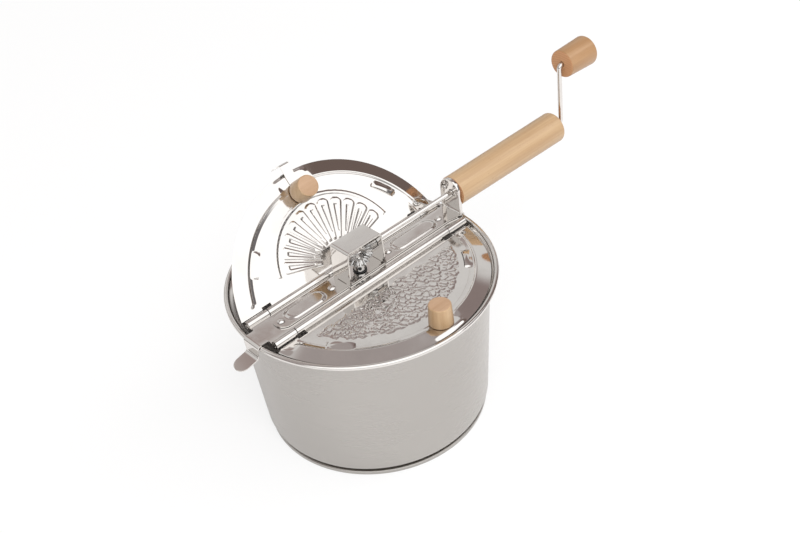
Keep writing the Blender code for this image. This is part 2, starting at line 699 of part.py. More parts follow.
def build_rivets():
    """Four domed rivets that clamp the strap to the bridge."""
    head_foot = STRAP_TOP + SEAT_GAP
    tail_top = BRIDGE_BOTTOM - SEAT_GAP
    outline = [
        (0, head_foot + RIVET_HEAD_HEIGHT),
        (RIVET_HEAD_RADIUS * 0.5, head_foot + RIVET_HEAD_HEIGHT * 0.86),
        (RIVET_HEAD_RADIUS * 0.87, head_foot + RIVET_HEAD_HEIGHT * 0.5),
        (RIVET_HEAD_RADIUS, head_foot),
        (RIVET_RADIUS, head_foot),
        (RIVET_RADIUS, tail_top),
        (RIVET_HEAD_RADIUS * 0.9, tail_top),
        (RIVET_HEAD_RADIUS * 0.9, tail_top - RIVET_TAIL_HEIGHT),
        (0, tail_top - RIVET_TAIL_HEIGHT),
    ]
    for number, rivet_x in enumerate(RIVET_PLACES, 1):
        mesh = turned_mesh("rivet", outline, 16)
        place(f"bridge_rivet_{number}", mesh, POLISHED_STEEL, location=(rivet_x, 0, 0))


def build_hinge_pins():
    """Long pins through the knuckles and the barrels of the half lids."""
    half = KNUCKLE_OUTER_X - HINGE_PIN_RECESS
    for name, side in (("front", -1), ("rear", 1)):
        mesh = cylinder_mesh("pin", HINGE_PIN_RADIUS, -half, half, 16)
        place_at = (0, side * HINGE_Y, HINGE_Z)
        place(f"hinge_pin_{name}", mesh, POLISHED_STEEL, None, place_at, (0, math.pi / 2, 0))


def build_gear_bracket():
    """Bent bracket over the gears, held by four tabs through strap and bridge."""
    top = BRACKET_TOP - BRACKET_SHEET / 2
    half = BRACKET_LENGTH / 2 - BRACKET_SHEET / 2
    foot = BRIDGE_BOTTOM - TAB_END
    path = [(-BRACKET_FOOT_X, foot), (-BRACKET_FOOT_X, STRAP_TOP + SEAT_GAP)]
    path += arc((-half + BRACKET_BEND, top - BRACKET_BEND), BRACKET_BEND, math.pi, math.pi / 2, 4)
    path += arc((half - BRACKET_BEND, top - BRACKET_BEND), BRACKET_BEND, math.pi / 2, 0, 4)
    path += [(BRACKET_FOOT_X, STRAP_TOP + SEAT_GAP), (BRACKET_FOOT_X, foot)]
    mesh = strip_mesh("gear_bracket", path, lambda point, length: BRACKET_HALF_WIDTH)
    bracket = place("gear_bracket", mesh, POLISHED_STEEL)
    solidify(bracket, BRACKET_SHEET)
    reach = BRACKET_FOOT_X + 5 * MM
    inner = TAB_SPREAD - TAB_WIDTH / 2
    outer = TAB_SPREAD + TAB_WIDTH / 2
    for name, low, high in (
        ("middle", -inner, inner),
        ("front", -BRACKET_HALF_WIDTH * 2, -outer),
        ("rear", outer, BRACKET_HALF_WIDTH * 2),
    ):
        mesh = box_mesh("tab_gap", (-reach, low, foot - 5 * MM), (reach, high, STRAP_TOP + SEAT_GAP))
        boolean(bracket, place_cutter(f"tab_gap_{name}", mesh))
    mesh = cylinder_mesh("rod_hole", CRANK_ROD_RADIUS + RUNNING_GAP, 0, BRACKET_LENGTH)
    place_at = (0, 0, CRANK_AXIS_Z)
    boolean(bracket, place_cutter("bracket_rod_hole", mesh, None, place_at, (0, math.pi / 2, 0)))


def build_handle():
    """Turned wooden handle, bored for the crank rod, and the two screws that hold it."""
    bore_radius = CRANK_ROD_RADIUS + RUNNING_GAP
    outline = [
        (bore_radius, HANDLE_LENGTH),
        (HANDLE_END_RADIUS - HANDLE_EDGE, HANDLE_LENGTH),
        (HANDLE_END_RADIUS - HANDLE_EDGE * 0.3, HANDLE_LENGTH - HANDLE_EDGE * 0.3),
        (HANDLE_END_RADIUS, HANDLE_LENGTH - HANDLE_EDGE),
        (HANDLE_RADIUS, HANDLE_EDGE * 0.5),
        (HANDLE_RADIUS - HANDLE_EDGE * 0.5, 0),
        (bore_radius, 0),
        (bore_radius, HANDLE_LENGTH),
    ]
    along_x = (0, math.pi / 2, 0)
    start = (HANDLE_START, 0, CRANK_AXIS_Z)
    handle = place("handle", turned_mesh("handle", outline, 36), WOOD, None, start, along_x)
    head_foot = ARCH_X - STRAP_SHEET / 2 - SEAT_GAP
    for name, side in (("front", -1), ("rear", 1)):
        height = CRANK_AXIS_Z + HANDLE_SCREW_RISE
        bore = cylinder_mesh(
            "screw_bore",
            HANDLE_SCREW_RADIUS + SEAT_GAP,
            -5 * MM,
            HANDLE_SCREW_REACH + RUNNING_GAP,
            16,
        )
        place_at = (HANDLE_START, side * HANDLE_SCREW_SPREAD, height)
        boolean(handle, place_cutter(f"screw_bore_{name}", bore, None, place_at, along_x))
        tip = HANDLE_START + HANDLE_SCREW_REACH - head_foot
        outline = [
            (0, tip),
            (HANDLE_SCREW_RADIUS * 0.3, tip),
            (HANDLE_SCREW_RADIUS, tip - 3 * MM),
            (HANDLE_SCREW_RADIUS, 0),
            (HANDLE_SCREW_HEAD_RADIUS, 0),
            (HANDLE_SCREW_HEAD_RADIUS * 0.8, -HANDLE_SCREW_HEAD_HEIGHT * 0.7),
            (0, -HANDLE_SCREW_HEAD_HEIGHT),
        ]
        mesh = turned_mesh("handle_screw", outline, 16)
        place_at = (head_foot, side * HANDLE_SCREW_SPREAD, height)
        place(f"handle_screw_{name}", mesh, POLISHED_STEEL, None, place_at, along_x)


# Gears, stirrer and crank


def bevel_gear_mesh(name, hub_radius, hub_end, bore_radius, phase):
    """A mitre bevel gear whose pitch cone has its tip at the origin and opens along -Z, with its hub."""
    pitch = math.tau / GEAR_TEETH
    root_radius = GEAR_PITCH_RADIUS - GEAR_DEDENDUM
    tip_radius = GEAR_PITCH_RADIUS + GEAR_ADDENDUM
    half_root = pitch * 0.25 + pitch * 0.085 - GEAR_BACKLASH / 2
    half_pitch = pitch * 0.25 - GEAR_BACKLASH / 2
    half_tip = pitch * 0.115 - GEAR_BACKLASH / 2
    profile = []
    for tooth in range(GEAR_TEETH):
        middle = phase + pitch * tooth
        for turn, radius in (
            (-half_root, root_radius),
            (-half_pitch, GEAR_PITCH_RADIUS),
            (-half_tip, tip_radius),
            (half_tip, tip_radius),
            (half_pitch, GEAR_PITCH_RADIUS),
            (half_root, root_radius),
        ):
            profile.append((radius * math.cos(middle + turn), radius * math.sin(middle + turn)))
    edit = bmesh.new()

    def ring(scale, level):
        return [edit.verts.new((x * scale, y * scale, level)) for x, y in profile]

    def round_ring(radius, level):
        angles = [math.atan2(y, x) for x, y in profile]
        return [edit.verts.new((radius * math.cos(a), radius * math.sin(a), level)) for a in angles]

    large_end = -GEAR_PITCH_RADIUS
    rings = [
        round_ring(bore_radius, large_end * GEAR_SMALL_END),
        ring(GEAR_SMALL_END, large_end * GEAR_SMALL_END),
        ring(1.0, large_end),
        ring(0.97, large_end - GEAR_BACKING * 0.35),
        round_ring(root_radius * 0.97, large_end - GEAR_BACKING),
        round_ring(hub_radius, large_end - GEAR_BACKING * 1.05),
        round_ring(hub_radius, hub_end),
        round_ring(bore_radius, hub_end),
    ]
    for first, second in zip(rings, rings[1:] + rings[:1]):
        for index in range(len(profile)):
            after = (index + 1) % len(profile)
            edit.faces.new((first[index], first[after], second[after], second[index]))
    return mesh_from(edit, name)


def build_stirrer():
    """Upright shaft with its gear above the bridge and the wire that sweeps the floor of the pot."""
    axis = make_axis("stirrer_axis", (0, 0, CRANK_AXIS_Z))
    shaft_top = -GEAR_PITCH_RADIUS * GEAR_SMALL_END + 0.6 * MM
    blind = STIRRER_HUB_BOTTOM + STIRRER_HUB_HEIGHT / 2 + STIRRER_WIRE_RADIUS
    shaft = cylinder_mesh("shaft", SHAFT_RADIUS, blind + RUNNING_GAP - CRANK_AXIS_Z, shaft_top)
    place("stirrer_shaft", shaft, POLISHED_STEEL, axis)
    hub_end = GEAR_HUB_BOTTOM - CRANK_AXIS_Z
    mesh = bevel_gear_mesh("driven_gear", GEAR_HUB_RADIUS, hub_end, SHAFT_RADIUS + SEAT_GAP, 0)
    gear = place("driven_gear", mesh, GEAR_METAL, axis)
    middle = (hub_end - GEAR_PITCH_RADIUS - GEAR_BACKING) / 2
    heading = (math.cos(SET_SCREW_HEADING), math.sin(SET_SCREW_HEADING))
    turn = (0, math.pi / 2, SET_SCREW_HEADING)
    bore = cylinder_mesh("set_screw_bore", SET_SCREW_RADIUS + SEAT_GAP, 0, GEAR_HUB_RADIUS * 1.3, 16)
    boolean(gear, place_cutter("set_screw_bore", bore, axis, (0, 0, middle), turn))
    seat = SHAFT_RADIUS + SEAT_GAP
    screw = cylinder_mesh("set_screw", SET_SCREW_RADIUS, 0, SET_SCREW_LENGTH, 16)
    place_at = (seat * heading[0], seat * heading[1], middle)
    place("gear_set_screw", screw, BLACK_NYLON, axis, place_at, turn)

    clip_top = BRIDGE_BOTTOM - SEAT_GAP - BUSH_FLANGE - SEAT_GAP - CRANK_AXIS_Z
    clip = ring_mesh(
        "clip", SHAFT_RADIUS + SEAT_GAP, CLIP_RADIUS, clip_top - CLIP_THICKNESS, clip_top
    )
    place("shaft_clip", clip, POLISHED_STEEL, axis)

    low = STIRRER_HUB_BOTTOM - CRANK_AXIS_Z
    wire_z = STIRRER_WIRE_Z - CRANK_AXIS_Z
    outline = [
        (0, low + STIRRER_HUB_HEIGHT),
        (STIRRER_HUB_RADIUS - 1 * MM, low + STIRRER_HUB_HEIGHT),
        (STIRRER_HUB_RADIUS, low + STIRRER_HUB_HEIGHT - 1 * MM),
        (STIRRER_HUB_RADIUS, low),
        (0, low),
    ]
    hub = place("stirrer_hub", turned_mesh("stirrer_hub", outline, 24), POLISHED_STEEL, axis)
    bore = cylinder_mesh("hub_bore", SHAFT_RADIUS + SEAT_GAP, blind - CRANK_AXIS_Z, 0)
    boolean(hub, place_cutter("hub_bore", bore, axis))
    reach = STIRRER_HUB_RADIUS * 2
    cross = cylinder_mesh("hub_cross_bore", STIRRER_WIRE_RADIUS + SEAT_GAP, -reach, reach, 16)
    boolean(hub, place_cutter("hub_cross_bore", cross, axis, (0, 0, wire_z), (0, math.pi / 2, 0)))
    wire = wire_mesh("stirrer_wire", stirrer_route(wire_z), STIRRER_WIRE_RADIUS)
    place("stirrer_wire", wire, POLISHED_STEEL, axis)


def stirrer_route(level):
    """Two arms that leave the hub straight, bow opposite ways over the floor and turn up at the ends."""
    straight = STIRRER_HUB_RADIUS + 2 * MM
    arm = []
    steps = 9
    for step in range(steps + 1):
        share = step / steps
        out = straight + (STIRRER_REACH - straight) * share
        arm.append((out, STIRRER_BOW * math.sin(share * math.pi / 2) ** 2 * share, level))
    end = Vector(arm[-1])
    upright = Vector((0, 0, 1))
    onward = (Vector(arm[-1]) - Vector(arm[-2])).normalized()
    for step in range(1, 5):
        turn = math.pi / 2 * step / 4
        place_at = end + onward * STIRRER_BEND * math.sin(turn)
        arm.append(tuple(place_at + upright * STIRRER_BEND * (1 - math.cos(turn))))
    arm.append(tuple(Vector(arm[-1]) + upright * (STIRRER_TURN_UP - STIRRER_BEND)))
    return [(-x, -y, z) for x, y, z in reversed(arm)] + arm


def build_bush():
    """Flanged bush in the bridge and the black washer that the gear's hub turns on."""
    inner = SHAFT_RADIUS + SEAT_GAP
    flange_top = BRIDGE_BOTTOM - SEAT_GAP
    flange_low = flange_top - BUSH_FLANGE
    outline = (
        (inner, STRAP_TOP),
        (BUSH_RADIUS, STRAP_TOP),
        (BUSH_RADIUS, flange_top),
        (BUSH_FLANGE_RADIUS, flange_top),
        (BUSH_FLANGE_RADIUS, flange_low),
        (inner, flange_low),
        (inner, STRAP_TOP),
    )
    place("shaft_bush", turned_mesh("shaft_bush", outline, 24), BLACK_NYLON)
    low = STRAP_TOP + SEAT_GAP
    washer = ring_mesh("washer", inner, WASHER_RADIUS, low, low + WASHER_THICKNESS)
    place("shaft_washer", washer, BLACK_NYLON)


def build_crank():
    """Crank rod through bracket, arched plate and handle, its pinion, and the knob that spins on it."""
    axis = make_axis("crank_axis", (0, 0, CRANK_AXIS_Z))
    rod_start = GEAR_PITCH_RADIUS * GEAR_SMALL_END - 0.4 * MM
    knob_end = CRANK_KNOB_START + CRANK_KNOB_LENGTH
    rod_end = knob_end - RETAINER_RECESS + RETAINER_THICKNESS + 1 * MM
    corners = (
        (rod_start, 0, 0),
        (CRANK_ARM_X, 0, 0),
        (CRANK_ARM_X - CRANK_LEAN, 0, CRANK_ARM),
        (rod_end, 0, CRANK_ARM),
    )
    rod = wire_mesh("crank_rod", rounded_route(corners, CRANK_BEND), CRANK_ROD_RADIUS)
    place("crank_rod", rod, POLISHED_STEEL, axis)

    leg = BRACKET_LENGTH / 2 + BRACKET_SPLAY * 0.3 - BRACKET_SHEET - RUNNING_GAP
    phase = math.pi / GEAR_TEETH
    pinion = bevel_gear_mesh("pinion", PINION_HUB_RADIUS, -leg, CRANK_ROD_RADIUS + SEAT_GAP, phase)
    place("pinion", pinion, GEAR_METAL, axis, rotation=(0, -math.pi / 2, 0))

    knob_axis = make_axis("crank_knob_axis", (CRANK_KNOB_START, 0, CRANK_ARM))
    knob_axis.parent = axis
    along_x = (0, math.pi / 2, 0)
    place("crank_knob", crank_knob_mesh(), WOOD, knob_axis, rotation=along_x)
    low = CRANK_KNOB_LENGTH - RETAINER_RECESS
    retainer = ring_mesh(
        "retainer", CRANK_ROD_RADIUS + SEAT_GAP, RETAINER_RADIUS, low, low + RETAINER_THICKNESS, 20
    )
    on_arm = (CRANK_KNOB_START, 0, CRANK_ARM)
    place("crank_knob_retainer", retainer, POLISHED_STEEL, axis, on_arm, along_x)


def crank_knob_mesh():
    """Turned crank knob, wider at its free end, bored for the rod and recessed for its retainer."""
    edge = 1.2 * MM
    bore = CRANK_ROD_RADIUS + RUNNING_GAP
    recess = RETAINER_RADIUS + RUNNING_GAP
    recess_foot = CRANK_KNOB_LENGTH - RETAINER_RECESS - RUNNING_GAP
    outline = [
        (recess, CRANK_KNOB_LENGTH),
        (CRANK_KNOB_OUTER_RADIUS - 2 * edge, CRANK_KNOB_LENGTH),
        (CRANK_KNOB_OUTER_RADIUS - edge * 0.6, CRANK_KNOB_LENGTH - edge * 0.6),
        (CRANK_KNOB_OUTER_RADIUS, CRANK_KNOB_LENGTH - 2 * edge),
        (CRANK_KNOB_INNER_RADIUS, edge),
        (CRANK_KNOB_INNER_RADIUS - edge, 0),
        (bore, 0),
        (bore, recess_foot),
        (recess, recess_foot),
        (recess, CRANK_KNOB_LENGTH),
    ]
    return turned_mesh("crank_knob", outline, 36)


# Half lids, built closed on -Y about their hinge axis


def lid_surface(name):
    """Middle surface of a closed half lid: flat, with a pressed step and a brim that slopes to the rim."""
    axis_y = HINGE_Y
    level = -HINGE_ROLL_RADIUS + LID_SHEET / 2
    foot = LID_RADIUS - LID_BEAD_INSET
    crest = foot + LID_BEAD_WIDTH
    brim = LID_RADIUS - LID_BRIM_WIDTH
    radii = [0.0, foot * 0.55, foot]
    radii += [foot + LID_BEAD_WIDTH * share for share in (0.3, 0.65, 1.0)]
    radii += [crest + (brim - crest) * share for share in (0.35, 0.7, 1.0)]
    radii.append(LID_RADIUS)
    edit = bmesh.new()
    points = [edit.verts.new((radius, axis_y, level)) for radius in radii]
    edges = [edit.edges.new(pair) for pair in zip(points, points[1:])]
    bmesh.ops.spin(
        edit,
        geom=points + edges,
        cent=(0, axis_y, 0),
        axis=(0, 0, 1),
        angle=math.tau,
        steps=LID_STEPS,
        use_merge=True,
    )
    bmesh.ops.remove_doubles(edit, verts=edit.verts, dist=1e-6)
    chord = HINGE_Y - LID_CHORD
    everything = list(edit.verts) + list(edit.edges) + list(edit.faces)
    bmesh.ops.bisect_plane(
        edit, geom=everything, plane_co=(0, chord, 0), plane_no=(0, 1, 0), clear_outer=True
    )
    for vertex in edit.verts:
        across = vertex.co.x
        along = vertex.co.y - axis_y
        radius = math.hypot(across, along)
        near_hinge = smooth((-along - LID_CHORD - LID_BEAD_START + 6 * MM) / (8 * MM))
        near_knob = smooth((abs(across) - LID_KNOB_PAD) / (7 * MM))
        pressed = near_hinge * near_knob
        plain = -LID_BRIM_DROP * max(0.0, (radius - brim) / LID_BRIM_WIDTH)
        vertex.co.z += plain + (lid_profile(radius) - plain) * pressed
    roll_edge(edit, chord)
    return mesh_from(edit, name)


def lid_profile(radius):
    """Height of the pressed lid over its flat middle: up a short step, then down one slope to the edge."""
    foot = LID_RADIUS - LID_BEAD_INSET
    crest = foot + LID_BEAD_WIDTH
    if radius < crest:
        return LID_BEAD_HEIGHT * smooth((radius - foot) / LID_BEAD_WIDTH)
    fall = (radius - crest) / (LID_RADIUS - crest)
    return LID_BEAD_HEIGHT - (LID_BEAD_HEIGHT + LID_BRIM_DROP) * fall


def smooth(share):
    """An eased step from 0 to 1."""
    share = min(1.0, max(0.0, share))
    return share * share * (3 - 2 * share)


def roll_edge(edit, chord):
    """Rolls the straight edge of a half lid up and round the hinge axis, between the knuckles."""
    for limit in (-BARREL_HALF_LENGTH, BARREL_HALF_LENGTH):
        everything = list(edit.verts) + list(edit.edges) + list(edit.faces)
        bmesh.ops.bisect_plane(
            edit, geom=everything, plane_co=(limit, 0, 0), plane_no=(1, 0, 0), dist=1e-7
        )
    reach = BARREL_HALF_LENGTH + 1e-5
    edge = [
        vertex for vertex in edit.verts if abs(vertex.co.y - chord) < 1e-5 and abs(vertex.co.x) < reach
    ]
    edge.sort(key=lambda vertex: vertex.co.x)
    roll = HINGE_ROLL_RADIUS - LID_SHEET / 2
    route = arc((0, 0), roll, -math.pi / 2, -math.pi / 2 + LID_WRAP, 16)
    rows = [
        [edit.verts.new((side * BARREL_HALF_LENGTH, y, z)) for side in (-1, 1)] for y, z in route
    ]
    edit.faces.new(edge + [rows[0][1], rows[0][0]])
    for (left, right), (next_left, next_right) in zip(rows, rows[1:]):
        edit.faces.new((left, right, next_right, next_left))


def build_lid(which, axis, knob_reach, knob_lift):
    """One half lid with its vent hoods, wooden knob and screw."""
    lid = place(f"lid_{which}", lid_surface(f"lid_{which}"), POLISHED_STEEL, axis)
    solidify(lid, LID_SHEET)
    top = -HINGE_ROLL_RADIUS + LID_SHEET
    for side in (-1, 1):
        add_vent(lid, which, side, axis)
        cut_relief(lid, which, side, axis)
    knob_y = HINGE_Y - knob_reach
    hole = cylinder_mesh("knob_hole", KNOB_SCREW_RADIUS + SEAT_GAP, top - 3 * MM, top + 3 * MM, 16)
    boolean(lid, place_cutter(f"knob_hole_{which}", hole, axis, (0, knob_y, 0)))

    foot = top + SEAT_GAP + knob_lift
    knob = place(f"lid_knob_{which}", lid_knob_mesh(), WOOD, axis, (0, knob_y, foot))
    bore = cylinder_mesh(
        "knob_screw_bore", KNOB_SCREW_RADIUS + SEAT_GAP, -2 * MM, KNOB_SCREW_REACH + RUNNING_GAP, 16
    )
    boolean(knob, place_cutter(f"knob_screw_bore_{which}", bore, axis, (0, knob_y, foot)))
    head_top = top - LID_SHEET - SEAT_GAP
    outline = [
        (0, foot + KNOB_SCREW_REACH),
        (KNOB_SCREW_RADIUS * 0.4, foot + KNOB_SCREW_REACH),
        (KNOB_SCREW_RADIUS, foot + KNOB_SCREW_REACH - 2 * MM),
        (KNOB_SCREW_RADIUS, head_top),
        (KNOB_SCREW_HEAD_RADIUS, head_top),
        (KNOB_SCREW_HEAD_RADIUS * 0.8, head_top - KNOB_SCREW_HEAD_HEIGHT * 0.7),
        (0, head_top - KNOB_SCREW_HEAD_HEIGHT),
    ]
    screw = turned_mesh("knob_screw", outline, 16)
    place(f"lid_knob_screw_{which}", screw, POLISHED_STEEL, axis, (0, knob_y, 0))


def add_vent(lid, which, side, axis):
    """A hood pressed up out of the sheet, hollow below and slotted on the side that faces the middle."""
    middle = -math.pi / 2 + side * (math.pi / 2 - VENT_ANGLE)
    sheet = -HINGE_ROLL_RADIUS + LID_SHEET / 2
    rise = VENT_HEIGHT + LID_SHEET / 2
    shell = bent_capsule_mesh(
        "hood", (0, HINGE_Y, sheet), VENT_RADIUS, middle, VENT_LENGTH, VENT_HALF_WIDTH, rise
    )
    below = sheet - LID_SHEET
    shape = (VENT_RADIUS, middle, VENT_LENGTH - 2 * LID_SHEET, VENT_HALF_WIDTH - LID_SHEET, rise)
    hollow = bent_capsule_mesh("hollow", (0, HINGE_Y, below), *shape)
    inward = VENT_RADIUS - VENT_HALF_WIDTH
    level = sheet + LID_SHEET / 2 + VENT_SLOT_HEIGHT / 2 + 0.1 * MM
    shape = (inward, middle, VENT_SLOT_LENGTH, VENT_HALF_WIDTH * 0.6, VENT_SLOT_HEIGHT / 2)
    slot = bent_capsule_mesh("slot", (0, HINGE_Y, level), *shape)
    boolean(lid, place_cutter(f"hood_{which}_{side}", shell, axis), "UNION")
    boolean(lid, place_cutter(f"hollow_{which}_{side}", hollow, axis))
    boolean(lid, place_cutter(f"slot_{which}_{side}", slot, axis))


def cut_relief(lid, which, side, axis):
    """The notch at each end of a lid's barrel, where the sheet is cut so that it can be rolled."""
    low_x, high_x = sorted(
        (side * (BARREL_HALF_LENGTH - LID_RELIEF), side * (BARREL_HALF_LENGTH + 2 * KNUCKLE_END_GAP))
    )
    chord = HINGE_Y - LID_CHORD
    mesh = box_mesh(
        "relief",
        (low_x, chord - 2.2 * MM, -HINGE_ROLL_RADIUS - 1 * MM),
        (high_x, -1.2 * MM, -HINGE_ROLL_RADIUS + LID_SHEET + 0.5 * MM),
    )
    boolean(lid, place_cutter(f"relief_{which}_{side}", mesh, axis))


def lid_knob_mesh():
    """Turned wooden knob, slightly wider at its foot."""
    edge = 1.0 * MM
    outline = [
        (0, LID_KNOB_HEIGHT),
        (LID_KNOB_TOP_RADIUS - edge, LID_KNOB_HEIGHT),
        (LID_KNOB_TOP_RADIUS, LID_KNOB_HEIGHT - edge),
        (LID_KNOB_BASE_RADIUS, edge),
        (LID_KNOB_BASE_RADIUS - edge, 0),
        (0, 0),
    ]
    return turned_mesh("lid_knob", outline, 32)


def build_catch(axis):
    """Sprung strip under the rear knob that reaches over the pot's lip to a wide foot outside it."""
    top = -HINGE_ROLL_RADIUS + LID_SHEET + SEAT_GAP + CATCH_SHEET / 2
    over_lip = POT_HEIGHT - HINGE_Z + RUNNING_GAP + CATCH_SHEET / 2
    leg = RIM_RADIUS + RUNNING_GAP + CATCH_SHEET / 2
    bend = 2.4 * MM
    foot = over_lip - CATCH_LEG + CATCH_FOOT
    path = [(REAR_KNOB_REACH - CATCH_TAIL, top), (LID_RADIUS - LID_BRIM_WIDTH, top)]
    path.append((LIP_CENTRE_RADIUS - LIP_RADIUS * 0.4, over_lip))
    path += arc((leg - bend, over_lip - bend), bend, math.pi / 2, 0, 5)
    path += [(leg, foot + 0.5 * MM), (leg, foot), (leg, over_lip - CATCH_LEG)]

    def half_width(point, length):
        return CATCH_FOOT_WIDTH / 2 if point[1] < foot + 0.1 * MM else CATCH_WIDTH / 2

    mesh = strip_mesh("catch", path, half_width)
    for vertex in mesh.vertices:
        vertex.co.x, vertex.co.y = vertex.co.y, HINGE_Y - vertex.co.x
    catch = place("lid_catch", mesh, POLISHED_STEEL, axis)
    solidify(catch, CATCH_SHEET)
    knob_y = HINGE_Y - REAR_KNOB_REACH
    hole = cylinder_mesh("catch_hole", KNOB_SCREW_RADIUS + SEAT_GAP, top - 3 * MM, top + 3 * MM, 16)
    boolean(catch, place_cutter("catch_hole", hole, axis, (0, knob_y, 0)))


def build_lids():
    """The closed front half lid and the raised rear one."""
    front = make_axis("front_lid_axis", (0, -HINGE_Y, HINGE_Z))
    build_lid("front", front, LID_KNOB_REACH, 0.0)
    rear = make_axis("rear_lid_axis", (0, HINGE_Y, HINGE_Z), (-REAR_LID_OPEN, 0, math.pi))
    build_lid("rear", rear, REAR_KNOB_REACH, CATCH_SHEET + SEAT_GAP)
    build_catch(rear)


clear_scene()
PIECES = make_collection("popcorn_popper")
CUTTERS = make_collection("popcorn_popper_cutters")
build_pot()
build_bridge()
build_strap()
build_rivets()
build_hinge_pins()
build_gear_bracket()
build_handle()
build_bush()
build_stirrer()
build_crank()
build_lids()
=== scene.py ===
"""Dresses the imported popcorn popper: satin pot, polished lids and bridge, bevel gears and turned wood."""

import logging
import math
from collections.abc import Callable, Iterable, Sequence
from dataclasses import dataclass
from enum import Enum

import bpy
from mathutils import Matrix, Vector, noise


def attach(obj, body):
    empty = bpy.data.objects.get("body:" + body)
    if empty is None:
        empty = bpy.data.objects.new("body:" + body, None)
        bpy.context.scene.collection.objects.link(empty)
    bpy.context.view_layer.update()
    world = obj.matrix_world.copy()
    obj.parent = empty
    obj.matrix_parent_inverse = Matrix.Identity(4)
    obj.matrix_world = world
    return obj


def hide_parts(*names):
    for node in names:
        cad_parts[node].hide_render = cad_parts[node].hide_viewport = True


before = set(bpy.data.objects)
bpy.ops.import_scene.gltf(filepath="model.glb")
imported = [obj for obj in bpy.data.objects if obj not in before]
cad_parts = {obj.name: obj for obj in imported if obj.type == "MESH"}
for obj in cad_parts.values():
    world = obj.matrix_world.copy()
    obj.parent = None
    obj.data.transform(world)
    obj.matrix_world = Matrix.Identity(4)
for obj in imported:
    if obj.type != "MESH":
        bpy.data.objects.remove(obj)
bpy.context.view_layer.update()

MM = 0.001
log = logging.getLogger("popper")

Point = tuple[float, float, float]
Pair = tuple[float, float]
Colour = tuple[float, float, float]
Route = Sequence[Sequence[float]]
Inputs = dict[int | str, object]
Piece = bpy.types.Object
Socket = bpy.types.NodeSocket


@dataclass(frozen=True)
class Plan:
    """Sizes that several sub-assemblies share, in metres and degrees, as the solids have them."""

    rim_radius: float = 124.0 * MM
    pot_height: float = 150.8 * MM
    pot_sheet: float = 1.0 * MM
    lip_radius: float = 2.25 * MM
    floor_low: float = 4.3 * MM
    bridge_low: float = 151.1 * MM
    bridge_top: float = 152.3 * MM
    strap_low: float = 152.6 * MM
    strap_top: float = 154.1 * MM
    hinge_y: float = 19.0 * MM
    hinge_z: float = 152.5 * MM
    hinge_roll: float = 3.7 * MM
    knuckle_outer: float = 113.77 * MM
    knuckle_inner: float = 91.77 * MM
    barrel_half: float = 90.97 * MM
    lid_radius: float = 116.8 * MM
    lid_sheet: float = 0.7 * MM
    rear_lid_angle: float = 47.5
    crank_z: float = 173.5 * MM
    arch_x: float = 119.3 * MM
    arch_top: float = 188.5 * MM
    rod_radius: float = 2.4 * MM
    seat_gap: float = 0.3 * MM
    handle_start: float = 120.35 * MM
    handle_end: float = 265.35 * MM
    crank_arm_x: float = 276.95 * MM
    crank_arm: float = 64.2 * MM
    crank_lean: float = 1.8 * MM
    knob_start: float = 279.15 * MM

    @property
    def lip_centre(self) -> Pair:
        """Radius and height of the middle of the rolled lip."""
        return self.rim_radius - self.lip_radius, self.pot_height - self.lip_radius

    @property
    def bridge_mid(self) -> float:
        """Height of the middle of the bridge's sheet."""
        return (self.bridge_low + self.bridge_top) / 2


PLAN = Plan()


class Body(Enum):
    """The moving bodies that pieces ride on."""

    POT = "pot_body"
    FRAME = "lid_frame"
    FRONT_LID = "front_lid"
    REAR_LID = "rear_lid"
    CRANK = "crank"
    GRIP = "crank_grip"
    STIRRER = "stirrer"


class Slot(Enum):
    """The record's material slots."""

    SATIN = "satin_steel"
    POLISHED = "polished_steel"
    GEAR = "gear_metal"
    WOOD = "beech_wood"
    NYLON = "black_nylon"


# Shader helpers


class Value:
    """A number socket of a shader, on which Python's operators add Math nodes."""

    def __init__(self, shader: "Shader", socket: Socket) -> None:
        """Wraps a socket of the shader."""
        self.shader = shader
        self.socket = socket

    def call(self, operation: str, other: "Number" = 0.0) -> "Value":
        """The result of one Math node on this value, or on this value and another."""
        node = self.shader.add("ShaderNodeMath", {0: self, 1: other}, operation=operation)
        return Value(self.shader, node.outputs[0])

    def __add__(self, other: "Number") -> "Value":
        """Sum."""
        return self.call("ADD", other)

    def __mul__(self, other: "Number") -> "Value":
        """Product."""
        return self.call("MULTIPLY", other)

    def __radd__(self, other: "Number") -> "Value":
        """Sum with the number first."""
        return self + other

    def __rmul__(self, other: "Number") -> "Value":
        """Product with the number first."""
        return self * other

    def ease(self, low: float, high: float) -> "Value":
        """An eased step that rises from 0 at low to 1 at high.

        Args:
            low: the value at which it starts.
            high: the value at which it ends. Below low, the step falls.

        Returns:
            The eased share.
        """
        rises = low < high
        inputs = {0: self, 1: min(low, high), 2: max(low, high), 3: float(not rises), 4: float(rises)}
        node = self.shader.add("ShaderNodeMapRange", inputs, interpolation_type="SMOOTHSTEP", clamp=True)
        return Value(self.shader, node.outputs[0])


Number = Value | float


